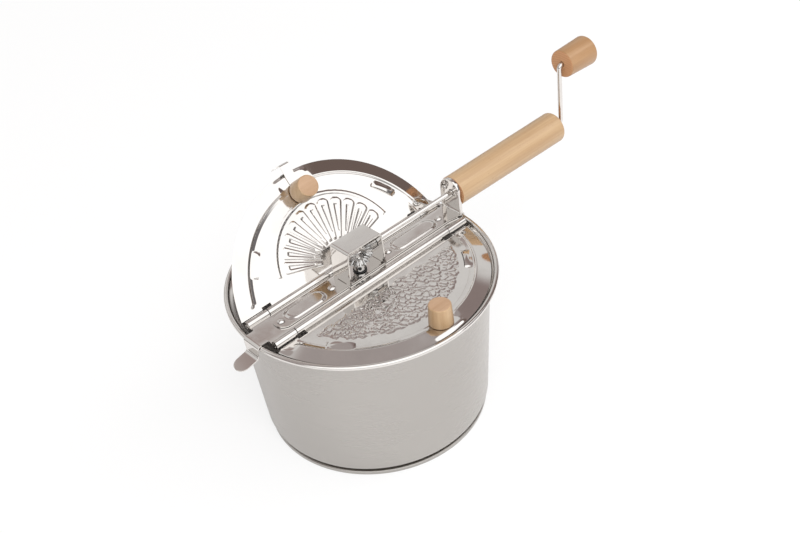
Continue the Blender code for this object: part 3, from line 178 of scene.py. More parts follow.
class Shader:
    """A material's or the world's node tree, filled by method calls."""

    def __init__(self, tree: bpy.types.NodeTree) -> None:
        """Clears the tree and keeps it."""
        self.tree = tree
        self.tree.nodes.clear()

    @classmethod
    def material(cls, name: str) -> tuple["Shader", bpy.types.Material]:
        """A new material and its shader.

        Args:
            name: the material's name.

        Returns:
            The shader and the material.
        """
        made = bpy.data.materials.new(name)
        made.use_nodes = True
        return cls(made.node_tree), made

    def add(self, kind: str, inputs: Inputs | None = None, **settings: object) -> bpy.types.Node:
        """Adds one node.

        Args:
            kind: the node's type.
            inputs: values or links of its sockets, by number or name.
            settings: its properties.

        Returns:
            The node.
        """
        node = self.tree.nodes.new(kind)
        for key, value in settings.items():
            setattr(node, key, value)
        for key, value in (inputs or {}).items():
            target = node.inputs[key]
            source = value.socket if isinstance(value, Value) else value
            if isinstance(source, Socket):
                self.tree.links.new(source, target)
            elif isinstance(value, tuple) and len(value) == 3 and len(target.default_value) == 4:
                target.default_value = (*value, 1.0)
            else:
                target.default_value = value
        return node

    def place(self) -> Socket:
        """The point on the piece, in its own coordinates."""
        return self.add("ShaderNodeTexCoord").outputs["Object"]

    def split(self, vector: Socket) -> tuple[Value, Value, Value]:
        """The three parts of a vector."""
        node = self.add("ShaderNodeSeparateXYZ", {0: vector})
        return tuple(Value(self, socket) for socket in node.outputs)

    def join(self, x: Number, y: Number, z: Number) -> Socket:
        """A vector of three parts."""
        return self.add("ShaderNodeCombineXYZ", {0: x, 1: y, 2: z}).outputs[0]

    def stretch(self, vector: Socket, scale: Point, place: Point = (0, 0, 0)) -> Socket:
        """A vector moved and scaled by a Mapping node.

        Args:
            vector: the vector.
            scale: factor on each axis.
            place: shift, after the scale.

        Returns:
            The mapped vector.
        """
        inputs = {"Vector": vector, "Scale": scale, "Location": place}
        return self.add("ShaderNodeMapping", inputs).outputs[0]

    def noise(self, vector: Socket, scale: float, detail: float = 3.0, rough: float = 0.5) -> Value:
        """Fractal noise from 0 to 1, with most of it near 0.5."""
        inputs = {"Vector": vector, "Scale": scale, "Detail": detail, "Roughness": rough}
        return Value(self, self.add("ShaderNodeTexNoise", inputs).outputs[0])

    def blend(self, share: Number, low: object, high: object) -> Socket:
        """A mix of two colours."""
        inputs = {0: share, 6: low, 7: high}
        return self.add("ShaderNodeMix", inputs, data_type="RGBA").outputs[2]

    def bump(self, height: Value, distance: float, under: Socket | None = None) -> Socket:
        """A Bump node.

        Args:
            height: the relief, from 0 to 1.
            distance: what 1 stands for, in metres.
            under: the normal of a coarser relief below it.

        Returns:
            The bent normal.
        """
        inputs: Inputs = {"Height": height, "Distance": distance, "Strength": 1.0}
        if under is not None:
            inputs["Normal"] = under
        return self.add("ShaderNodeBump", inputs).outputs[0]

    def principled(self, inputs: Inputs) -> None:
        """Ends the tree in one Principled shader."""
        shader = self.add("ShaderNodeBsdfPrincipled", inputs)
        self.add("ShaderNodeOutputMaterial", {0: shader.outputs[0]})


# Finishes


def shade(colour: Colour, share: float) -> Colour:
    """A colour made darker, or lighter where share is above 1."""
    return tuple(part * share for part in colour)


class Finish:
    """A look that can be built as a material."""

    name: str

    def inputs(self, shader: Shader) -> Inputs:
        """The inputs of the Principled shader."""
        raise NotImplementedError

    def make(self) -> bpy.types.Material:
        """Builds the material.

        Returns:
            The finished material.
        """
        shader, material = Shader.material(self.name)
        shader.principled(self.inputs(shader))
        return material


@dataclass(frozen=True)
class PolishedSteel(Finish):
    """Mirror-polished stainless sheet with faint smudges, hairlines and a slight ripple."""

    name: str = "polished_steel"
    tint: Colour = (0.74, 0.715, 0.69)
    roughness: float = 0.055
    smudge: float = 0.06
    smudge_scale: float = 26.0
    print_scale: float = 95.0
    print_shift: Point = (0.3, 0.1, 0.2)
    ripple: float = 0.00005
    ripple_scale: float = 38.0
    hairline: Point = (40.0, 900.0, 900.0)
    hairline_depth: float = 0.0000015

    def inputs(self, shader: Shader) -> Inputs:
        """The inputs of the Principled shader.

        Args:
            shader: the tree that gets the nodes.

        Returns:
            Values and links by the sockets' names.
        """
        place = shader.place()
        smudges = shader.noise(place, self.smudge_scale, 5.0, 0.62).ease(0.42, 0.72)
        moved = shader.stretch(place, (1, 1, 1), self.print_shift)
        prints = shader.noise(moved, self.print_scale, 3.0).ease(0.5, 0.7)
        ripple = shader.bump(shader.noise(place, self.ripple_scale, 1.0), self.ripple)
        hairs = shader.noise(shader.stretch(place, self.hairline), 1.0, 2.0)
        return {
            "Base Color": shader.blend(smudges, self.tint, shade(self.tint, 0.93)),
            "Metallic": 1.0,
            "Roughness": smudges * self.smudge + prints * (self.smudge * 0.4) + self.roughness,
            "Normal": shader.bump(hairs, self.hairline_depth, ripple),
        }


@dataclass(frozen=True)
class SatinSteel(Finish):
    """Satin stainless wall, brushed in fine rings round the pot."""

    name: str = "satin_steel"
    tint: Colour = (0.46, 0.44, 0.418)
    roughness: float = 0.27
    metallic: float = 1.0
    grain: float = 0.000003
    ring_scale: Pair = (7.0, 1500.0)
    band_scale: Pair = (3.0, 120.0)
    cloud_scale: float = 9.0

    def inputs(self, shader: Shader) -> Inputs:
        """The inputs of the Principled shader.

        Args:
            shader: the tree that gets the nodes.

        Returns:
            Values and links by the sockets' names.
        """
        place = shader.place()
        x, y, z = shader.split(place)
        radius = (x * x + y * y).call("SQRT")
        round_it, along_it = self.ring_scale
        fine = shader.noise(shader.join(x * round_it, y * round_it, (z + radius) * along_it), 1.0, 3.0, 0.6)
        round_it, along_it = self.band_scale
        bands = shader.noise(shader.join(x * round_it, y * round_it, z * along_it), 1.0, 2.0)
        cloud = shader.noise(place, self.cloud_scale, 3.0)
        colour = shader.blend(fine.ease(0.3, 0.7), self.tint, shade(self.tint, 0.98))
        return {
            "Base Color": shader.blend(cloud.ease(0.4, 0.75) * 0.5, colour, shade(self.tint, 0.95)),
            "Metallic": self.metallic,
            "Roughness": fine * 0.03 + bands * 0.02 + cloud * 0.04 + (self.roughness - 0.045),
            "Normal": shader.bump(fine, self.grain),
        }


@dataclass(frozen=True)
class TurnedWood(Finish):
    """Pale beech under a thin varnish, with its grain along one axis."""

    name: str = "beech_wood"
    axis: int = 0
    light: Colour = (0.50, 0.345, 0.20)
    dark: Colour = (0.39, 0.245, 0.127)
    fleck: Colour = (0.30, 0.165, 0.075)
    roughness: float = 0.42
    shift: Point = (0.0, 0.0, 0.0)
    sway_scale: Pair = (6.0, 22.0)
    ring_scale: Pair = (5.0, 170.0)
    streak_scale: Pair = (16.0, 620.0)
    fleck_scale: Pair = (260.0, 1500.0)
    depth: float = 0.00004

    def _grain(self, shader: Shader, scale: Pair, detail: float, rough: float = 0.5) -> Value:
        """Noise stretched along the grain, by its scales along and across it.

        Args:
            shader: the tree that gets the nodes.
            scale: noise scales along and across the grain.
            detail: octaves of the noise.
            rough: how strong the finer octaves are.

        Returns:
            The noise.
        """
        along, cross = scale
        stretch = tuple(along if index == self.axis else cross for index in range(3))
        place = shader.stretch(shader.place(), (1, 1, 1), self.shift)
        return shader.noise(shader.stretch(place, stretch), 1.0, detail, rough)

    def inputs(self, shader: Shader) -> Inputs:
        """The inputs of the Principled shader.

        Args:
            shader: the tree that gets the nodes.

        Returns:
            Values and links by the sockets' names.
        """
        sway = self._grain(shader, self.sway_scale, 2.0)
        rings = self._grain(shader, self.ring_scale, 3.0, 0.6)
        streaks = self._grain(shader, self.streak_scale, 2.0)
        flecks = self._grain(shader, self.fleck_scale, 1.0).ease(0.66, 0.74)
        colour = shader.blend((rings * 0.6 + sway * 0.4).ease(0.36, 0.66), self.light, self.dark)
        colour = shader.blend(streaks.ease(0.35, 0.75) * 0.28, colour, self.dark)
        return {
            "Base Color": shader.blend(flecks * 0.4, colour, self.fleck),
            "Roughness": streaks * 0.12 + flecks * 0.1 + (self.roughness - 0.06),
            "Normal": shader.bump(streaks * 0.7 + flecks * 0.3, self.depth),
            "Coat Weight": 0.18,
            "Coat Roughness": 0.25,
        }


@dataclass(frozen=True)
class EndGrain(Finish):
    """Cut end of the beech: redder, with growth rings and pores."""

    name: str = "beech_end_grain"
    centre: Point = (0.0, 0.0, 0.0)
    axis: int = 0
    light: Colour = (0.55, 0.29, 0.14)
    dark: Colour = (0.42, 0.20, 0.09)
    heart: float = 0.04
    ring_scale: float = 2600.0
    pore_scale: float = 1400.0
    pore_depth: float = 0.00005

    def inputs(self, shader: Shader) -> Inputs:
        """The inputs of the Principled shader.

        Args:
            shader: the tree that gets the nodes.

        Returns:
            Values and links by the sockets' names.
        """
        place = shader.stretch(shader.place(), (1, 1, 1), shade(self.centre, -1.0))
        parts = list(shader.split(place))
        del parts[self.axis]
        across, rise = parts[0], parts[1] + self.heart
        wander = shader.noise(place, 70.0, 2.0)
        radius = (across * across + rise * rise).call("SQRT") + wander * 0.0015
        rings = (radius * self.ring_scale).call("SINE") * 0.5 + 0.5
        pores = shader.noise(place, self.pore_scale, 2.0).ease(0.56, 0.7)
        colour = shader.blend(rings * 0.55 + wander * 0.3, self.light, self.dark)
        return {
            "Base Color": shader.blend(pores * 0.5, colour, shade(self.dark, 0.6)),
            "Roughness": pores * 0.1 + 0.5,
            "Normal": shader.bump(pores, self.pore_depth),
        }


@dataclass(frozen=True)
class GearMetal(Finish):
    """Plain cast gear metal with a fine grain."""

    name: str = "gear_metal"
    tint: Colour = (0.62, 0.61, 0.60)
    depth: float = 0.00003

    def inputs(self, shader: Shader) -> Inputs:
        """The inputs of the Principled shader.

        Args:
            shader: the tree that gets the nodes.

        Returns:
            Values and links by the sockets' names.
        """
        place = shader.place()
        patches = shader.noise(place, 160.0, 3.0)
        return {
            "Base Color": shader.blend(patches.ease(0.35, 0.7), self.tint, shade(self.tint, 0.72)),
            "Metallic": 1.0,
            "Roughness": patches * 0.16 + 0.12,
            "Normal": shader.bump(shader.noise(place, 900.0, 3.0), self.depth),
        }


@dataclass(frozen=True)
class BlackNylon(Finish):
    """Moulded black nylon."""

    name: str = "black_nylon"
    tint: Colour = (0.016, 0.016, 0.017)
    depth: float = 0.00003

    def inputs(self, shader: Shader) -> Inputs:
        """The inputs of the Principled shader.

        Args:
            shader: the tree that gets the nodes.

        Returns:
            Values and links by the sockets' names.
        """
        grain = shader.noise(shader.place(), 700.0, 3.0)
        return {
            "Base Color": shader.blend(grain, self.tint, shade(self.tint, 1.7)),
            "Roughness": grain * 0.2 + 0.35,
            "Normal": shader.bump(grain, self.depth),
        }


class Rack:
    """Makes each finish once and hands it out."""

    def __init__(self) -> None:
        """Starts with nothing made."""
        self._made: dict[Finish, bpy.types.Material] = {}

    def get(self, finish: Finish) -> bpy.types.Material:
        """The material of a finish.

        Args:
            finish: the finish.

        Returns:
            Its material, made on the first call.
        """
        if finish not in self._made:
            self._made[finish] = finish.make()
        return self._made[finish]


RACK = Rack()


# Modelling bench


class Bench:
    """Modelling steps on one mesh, each an operator as it is used by hand."""

    @staticmethod
    def rest() -> None:
        """Leaves edit mode and deselects everything."""
        active = bpy.context.object
        if active is not None and active.mode != "OBJECT":
            bpy.ops.object.mode_set(mode="OBJECT")
        bpy.ops.object.select_all(action="DESELECT")

    @staticmethod
    def take(piece: Piece) -> None:
        """Selects one piece alone and makes it active.

        Args:
            piece: the piece.
        """
        Bench.rest()
        piece.select_set(True)
        bpy.context.view_layer.objects.active = piece

    @staticmethod
    def edit(piece: Piece) -> None:
        """Opens a piece in edit mode with all of it selected.

        Args:
            piece: the piece.
        """
        Bench.take(piece)
        bpy.ops.object.mode_set(mode="EDIT")
        bpy.ops.mesh.select_mode(type="VERT")
        bpy.ops.mesh.select_all(action="SELECT")

    @staticmethod
    def leave() -> None:
        """Goes back to picking vertices and to object mode."""
        bpy.ops.mesh.select_mode(type="VERT")
        bpy.ops.object.mode_set(mode="OBJECT")

    @staticmethod
    def pick(piece: Piece, kind: str, test: Callable[[object], bool]) -> None:
        """Selects what passes a test, and stays in edit mode.

        Args:
            piece: the piece.
            kind: VERT, EDGE or FACE.
            test: tells whether a vertex, edge or face of the mesh is wanted.
        """
        Bench.edit(piece)
        bpy.ops.mesh.select_mode(type=kind)
        bpy.ops.mesh.select_all(action="DESELECT")
        bpy.ops.object.mode_set(mode="OBJECT")
        mesh = piece.data
        for item in {"VERT": mesh.vertices, "EDGE": mesh.edges, "FACE": mesh.polygons}[kind]:
            item.select = test(item)
        bpy.ops.object.mode_set(mode="EDIT")

    @staticmethod
    def line(name: str, points: Route) -> Piece:
        """Draws a line of edges by extruding one point, and stays in edit mode.

        Args:
            name: the piece's name.
            points: the line's corners.

        Returns:
            The piece.
        """
        Bench.rest()
        bpy.ops.mesh.primitive_plane_add(size=MM)
        piece = bpy.context.object
        piece.name = name
        piece.data.name = name
        Bench.edit(piece)
        bpy.ops.mesh.merge(type="CENTER")
        bpy.ops.transform.translate(value=points[0])
        Bench.extrude_along(points)
        return piece

    @staticmethod
    def extrude_along(points: Route) -> None:
        """Extrudes what is selected from the first point through the others.

        Args:
            points: the route's corners, the first where the selection is.
        """
        for before, after in zip(points, points[1:]):
            step = tuple(Vector(after) - Vector(before))
            bpy.ops.mesh.extrude_region_move(TRANSFORM_OT_translate={"value": step})

    @staticmethod
    def lathe(name: str, outline: Iterable[Pair], steps: int, centre: Point, axis: Point) -> Piece:
        """Turns an outline into a closed round piece.

        Args:
            name: the piece's name.
            outline: (radius, distance along the axis) pairs.
            steps: faces round the piece.
            centre: a point on the axis, from which the distances count.
            axis: the axis, X or Z.

        Returns:
            The piece, in object mode.
        """
        along = Vector(axis)
        out = Vector((1, 0, 0)) if abs(along.z) > 0.5 else Vector((0, 0, 1))
        points = [Vector(centre) + out * radius + along * level for radius, level in outline]
        piece = Bench.line(name, points)
        bpy.ops.mesh.select_all(action="SELECT")
        bpy.ops.mesh.spin(steps=steps, angle=math.tau, center=centre, axis=axis)
        Bench.weld()
        return piece

    @staticmethod
    def weld(distance: float = 1e-6) -> None:
        """Merges doubles, turns faces outwards and returns to object mode.

        Args:
            distance: how close vertices have to be to merge.
        """
        bpy.ops.mesh.select_all(action="SELECT")
        bpy.ops.mesh.remove_doubles(threshold=distance)
        bpy.ops.mesh.normals_make_consistent(inside=False)
        bpy.ops.object.mode_set(mode="OBJECT")

    @staticmethod
    def sheet(
        name: str,
        route: Sequence[Point],
        halves: Sequence[float],
        across: Point = (0, 1, 0),
        cuts: Sequence[float] = (-1.0, 1.0),
    ) -> Piece:
        """Draws a band of sheet along a route.

        Args:
            name: the piece's name.
            route: the middle of the band, step by step.
            halves: its half width at each step.
            across: the direction of its width.
            cuts: places of its lengthwise edges, as shares of the half width.

        Returns:
            The open band, in object mode.
        """
        side = Vector(across)
        start = Vector(route[0])
        piece = Bench.line(name, [start + side * (cut * halves[0]) for cut in cuts])
        bpy.ops.mesh.select_all(action="SELECT")
        for index in range(1, len(route)):
            Bench.extrude_along(route[index - 1 : index + 1])
            grow = halves[index] / halves[index - 1]
            if abs(grow - 1) > 1e-6:
                factors = tuple(1 + (grow - 1) * abs(part) for part in across)
                bpy.ops.transform.resize(value=factors, center_override=route[index])
        bpy.ops.mesh.select_all(action="SELECT")
        bpy.ops.mesh.normals_make_consistent(inside=False)
        bpy.ops.object.mode_set(mode="OBJECT")
        return piece

    @staticmethod
    def apply(piece: Piece, kind: str, **settings: object) -> None:
        """Adds one modifier, sets it and applies it.

        Args:
            piece: the piece.
            kind: the modifier's type.
            settings: its properties.
        """
        Bench.take(piece)
        modifier = piece.modifiers.new(kind.lower(), kind)
        for key, value in settings.items():
            setattr(modifier, key, value)
        bpy.ops.object.modifier_apply(modifier=modifier.name)

    @staticmethod
    def thicken(piece: Piece, thickness: float, bevel: float = 0.0, segments: int = 2) -> None:
        """Gives a sheet its thickness, half to each side, and eases its edges.

        Args:
            piece: the open sheet.
            thickness: the sheet's thickness.
            bevel: width of the eased edges, or 0 for none.
            segments: steps in each eased edge.
        """
        Bench.apply(piece, "SOLIDIFY", thickness=thickness, offset=0.0, use_even_offset=True)
        if bevel:
            Bench.bevel(piece, bevel, segments)

    @staticmethod
    def bevel(piece: Piece, width: float, segments: int = 2, limit: float = 50.0) -> None:
        """Rounds the sharp edges of a piece.

        Args:
            piece: the piece.
            width: width of the rounding.
            segments: steps in it.
            limit: the angle in degrees above which an edge is sharp.
        """
        Bench.apply(
            piece,
            "BEVEL",
            width=width,
            segments=segments,
            limit_method="ANGLE",
            angle_limit=math.radians(limit),
            use_clamp_overlap=True,
        )

    @staticmethod
    def smooth(piece: Piece, angle: float = 35.0, weighted: bool = False) -> None:
        """Smooth shading up to an angle, with flat faces kept flat where asked.

        Args:
            piece: the piece.
            angle: the angle in degrees up to which faces blend.
            weighted: whether flat faces keep flat shading.
        """
        Bench.take(piece)
        bpy.ops.object.shade_smooth_by_angle(angle=math.radians(angle))
        if weighted:
            Bench.apply(piece, "WEIGHTED_NORMAL", keep_sharp=True)

    @staticmethod
    def cut(piece: Piece, cutter: Piece) -> None:
        """Cuts a piece with another shape and removes that shape."""
        Bench.apply(piece, "BOOLEAN", operation="DIFFERENCE", solver="EXACT", object=cutter)
        bpy.data.objects.remove(cutter, do_unlink=True)

    @staticmethod
    def drill(radius: float, depth: float, at: Point) -> Piece:
        """A round cutter along X.

        Args:
            radius: its radius.
            depth: its length.
            at: its middle.

        Returns:
            The cutter.
        """
        Bench.rest()
        bpy.ops.mesh.primitive_cylinder_add(
            vertices=40, radius=radius, depth=depth, location=at, rotation=(0, math.pi / 2, 0)
        )
        return bpy.context.object

    @staticmethod
    def block(low: Point, high: Point) -> Piece:
        """A square cutter between two corners.

        Args:
            low: the corner with the smallest coordinates.
            high: the corner across from it.

        Returns:
            The cutter.
        """
        Bench.rest()
        middle = tuple((a + b) / 2 for a, b in zip(low, high))
        size = tuple(b - a for a, b in zip(low, high))
        bpy.ops.mesh.primitive_cube_add(size=1.0, location=middle, scale=size)
        return bpy.context.object

    @staticmethod
    def join(pieces: Sequence[Piece]) -> Piece:
        """Joins pieces into the first of them.

        Args:
            pieces: the pieces.

        Returns:
            The first piece, with the others in its mesh.
        """
        Bench.take(pieces[0])
        for piece in pieces:
            piece.select_set(True)
        bpy.ops.object.join()
        return pieces[0]

    @staticmethod
    def wire(name: str, route: Route, radius: float, sides: int = 6) -> Piece:
        """A bent rod with flat ends.

        Args:
            name: the piece's name.
            route: points along its middle.
            radius: its radius.
            sides: the bevel resolution of the curve it starts as.

        Returns:
            The rod as a mesh.
        """
        Bench.rest()
        data = bpy.data.curves.new(name, "CURVE")
        data.dimensions = "3D"
        data.bevel_depth = radius
        data.bevel_resolution = sides
        data.use_fill_caps = True
        spline = data.splines.new("POLY")
        spline.points.add(len(route) - 1)
        for slot, point in zip(spline.points, route):
            slot.co = (*point, 1.0)
        piece = bpy.data.objects.new(name, data)
        bpy.context.scene.collection.objects.link(piece)
        Bench.take(piece)
        bpy.ops.object.convert(target="MESH")
        Bench.edit(piece)
        Bench.weld()
        return piece

    @staticmethod
    def copy_of(node: str, name: str) -> Piece:
        """A copy of a solid, with its loose triangles merged into a closed mesh.

        Args:
            node: the solid's name.
            name: the copy's name.

        Returns:
            The copy, in object mode.
        """
        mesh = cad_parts[node].data.copy()
        mesh.materials.clear()
        for attribute in [item for item in mesh.attributes if item.name == "custom_normal"]:
            mesh.attributes.remove(attribute)
        piece = bpy.data.objects.new(name, mesh)
        bpy.context.scene.collection.objects.link(piece)
        Bench.edit(piece)
        Bench.weld(2e-6)
        Bench.edit(piece)
        bpy.ops.mesh.dissolve_limited(angle_limit=math.radians(0.5))
        bpy.ops.object.mode_set(mode="OBJECT")
        return piece

    @staticmethod
    def settle(piece: Piece, turn: Matrix | None = None) -> None:
        """Puts a piece's place into its mesh and leaves its object at the origin.

        Args:
            piece: the piece.
            turn: a move to make first.
        """
        if turn is not None:
            piece.matrix_world = turn @ piece.matrix_world
        Bench.take(piece)
        bpy.ops.object.transform_apply(location=True, rotation=True, scale=True)


def arc(centre: Pair, radius: float, start: float, end: float, steps: int) -> list[Pair]:
    """Points along an arc in a plane, in degrees.

    Args:
        centre: the arc's centre.
        radius: its radius.
        start: its first angle.
        end: its last angle.
        steps: how many steps it takes.

    Returns:
        The points, both ends with them.
    """
    angles = [math.radians(start + (end - start) * step / steps) for step in range(steps + 1)]
    return [(centre[0] + radius * math.cos(a), centre[1] + radius * math.sin(a)) for a in angles]


def rounded(corners: Sequence[Point], radius: float, steps: int = 10) -> list[Vector]:
    """A route through corners, each turned with one bend radius.

    Args:
        corners: the route's corners.
        radius: the bend radius.
        steps: steps in each bend.

    Returns:
        Points along the route.
    """
    points = [Vector(corner) for corner in corners]
    route = [points[0]]
    for before, corner, after in zip(points, points[1:], points[2:]):
        back = (before - corner).normalized()
        onward = (after - corner).normalized()
        half = back.angle(onward) / 2
        centre = corner + (back + onward).normalized() * (radius / math.sin(half))
        first = corner + back * (radius / math.tan(half)) - centre
        last = corner + onward * (radius / math.tan(half)) - centre
        turn = first.angle(last)
        axis = first.cross(last).normalized()
        route += [centre + Matrix.Rotation(turn * step / steps, 3, axis) @ first for step in range(steps + 1)]
    route.append(points[-1])
    return route


def profile(points: Iterable[Pair], base: float = 0.0) -> list[Pair]:
    """An outline given in millimetres, in metres and counted from a base."""
    return [(radius * MM, base + level * MM) for radius, level in points]


def ease(share: float) -> float:
    """An eased step from 0 to 1."""
    share = min(1.0, max(0.0, share))
    return share * share * (3 - 2 * share)


class Assembly:
    """A sub-assembly that delivers finished pieces to the bodies they ride on."""

    def deliver(
        self, piece: Piece, body: Body, slot: Slot, finish: Finish | None, replaces: Sequence[str] = ()
    ) -> None:
        """Dresses one piece and hands it over.

        Args:
            piece: the finished piece.
            body: what it rides on.
            slot: the record's slot of its finish; not used.
            finish: its finish, unless the piece has its own materials.
            replaces: the solids that it stands for.
        """
        if finish is not None:
            piece.data.materials.clear()
            piece.data.materials.append(RACK.get(finish))
        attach(piece, body.value)
        if replaces:
            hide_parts(*replaces)
        log.info("%s: %d faces", piece.name, len(piece.data.polygons))


STEEL = PolishedSteel()
BRIGHT = PolishedSteel(name="polished_rod", roughness=0.05, ripple=0.00001, hairline=(900.0, 60.0, 60.0))
SATIN = SatinSteel()
WOOD = TurnedWood()
UPRIGHT_WOOD = TurnedWood(name="beech_wood_upright", axis=2, shift=(0.37, 0.11, 0.05))


@dataclass
class Pot(Assembly):
    """Drawn pot with its rolled lip and the base plate under it."""

    steps: int = 192
    shoulder_width: float = 5.6 * MM
    shoulder_depth: float = 5.2 * MM
    bottom_radius: float = 108.0 * MM
    corner_radius: float = 9.0 * MM
    floor_rings: tuple[float, ...] = (0.0, 30.0 * MM, 60.0 * MM, 85.0 * MM)
    wall_rings: int = 8
    shoulder_rings: int = 7
    lip_end: float = -80.0
    base_radius: float = 105.8 * MM
    base_height: float = 4.0 * MM
    base_edge: float = 0.9 * MM
    grooves: tuple[Point, ...] = ((86.0 * MM, 80.0 * MM, 0.35 * MM), (31.0 * MM, 27.0 * MM, 0.3 * MM))
    groove_side: float = 0.8 * MM

    def outline(self) -> list[Pair]:
        """Middle line of the sheet from the centre of the floor to the end of the lip.

        Returns:
            (radius, height) pairs.
        """
        sheet = PLAN.pot_sheet
        low = PLAN.floor_low + sheet / 2
        lip_r, lip_z = PLAN.lip_centre
        wall_top = lip_r - PLAN.lip_radius + sheet * 1.5 - self.shoulder_width
        wall_foot = self.bottom_radius - sheet / 2
        shoulder = lip_z - self.shoulder_depth
        rise = math.degrees(math.atan2(shoulder - low, wall_top - wall_foot))
        line = [(radius, low) for radius in self.floor_rings]
        corner = (wall_foot - self.corner_radius, low + self.corner_radius)
        line += arc(corner, self.corner_radius, -90, rise - 90, 12)
        foot_r, foot_z = line[-1]
        for step in range(1, self.wall_rings + 1):
            share = step / self.wall_rings
            line.append((foot_r + (wall_top - foot_r) * share, foot_z + (shoulder - foot_z) * share))
        inner = lip_r - PLAN.lip_radius + sheet / 2
        for step in range(1, self.shoulder_rings):
            share = step / self.shoulder_rings
            out = wall_top + (inner - wall_top) * ease(share)
            line.append((out, shoulder + self.shoulder_depth * share * 0.97))
        line += arc((lip_r, lip_z), PLAN.lip_radius - sheet / 2, 180, self.lip_end, 30)
        return line

    def build(self) -> None:
        """Builds and delivers the pot and its base."""
        pot = Bench.lathe("steel_pot", self.outline(), self.steps, (0, 0, 0), (0, 0, 1))
        Bench.thicken(pot, PLAN.pot_sheet)
        Bench.smooth(pot, 40)
        pot.data.materials.clear()
        inside = SatinSteel(name="satin_inside", roughness=0.5, metallic=0.55, tint=(0.64, 0.62, 0.60))
        lip = PolishedSteel(name="polished_lip", roughness=0.09, ripple=0.0, hairline=(60.0, 60.0, 900.0))
        for finish in (SATIN, lip, inside):
            pot.data.materials.append(RACK.get(finish))
        lip_low = PLAN.lip_centre[1] - self.shoulder_depth * 0.7
        for face in pot.data.polygons:
            outward = face.normal.x * face.center.x + face.normal.y * face.center.y
            if face.center.z > lip_low:
                face.material_index = 1
            elif face.normal.z > 0.5 or outward < 0:
                face.material_index = 2
        self.deliver(pot, Body.POT, Slot.SATIN, None, ["pot"])
        self._build_base()

    def _build_base(self) -> None:
        """Base plate with eased edges and two shallow rings pressed in its foot."""
        edge = self.base_edge
        r, h = self.base_radius, self.base_height
        outline = [(0, h), (r - 2 * MM, h), (r - edge, h)]
        outline += arc((r - edge, h - edge), edge, 90, 0, 5)[1:]
        outline += arc((r - edge, edge), edge, 0, -90, 5)
        side = self.groove_side
        for outer, inner, depth in self.grooves:
            outline += [(outer, 0), (outer - side, depth), (inner + side, depth), (inner, 0)]
        outline.append((0, 0))
        base = Bench.lathe("pot_base", outline, self.steps, (0, 0, 0), (0, 0, 1))
        Bench.smooth(base, 32)
        self.deliver(base, Body.POT, Slot.SATIN, SATIN, ["base_plate"])


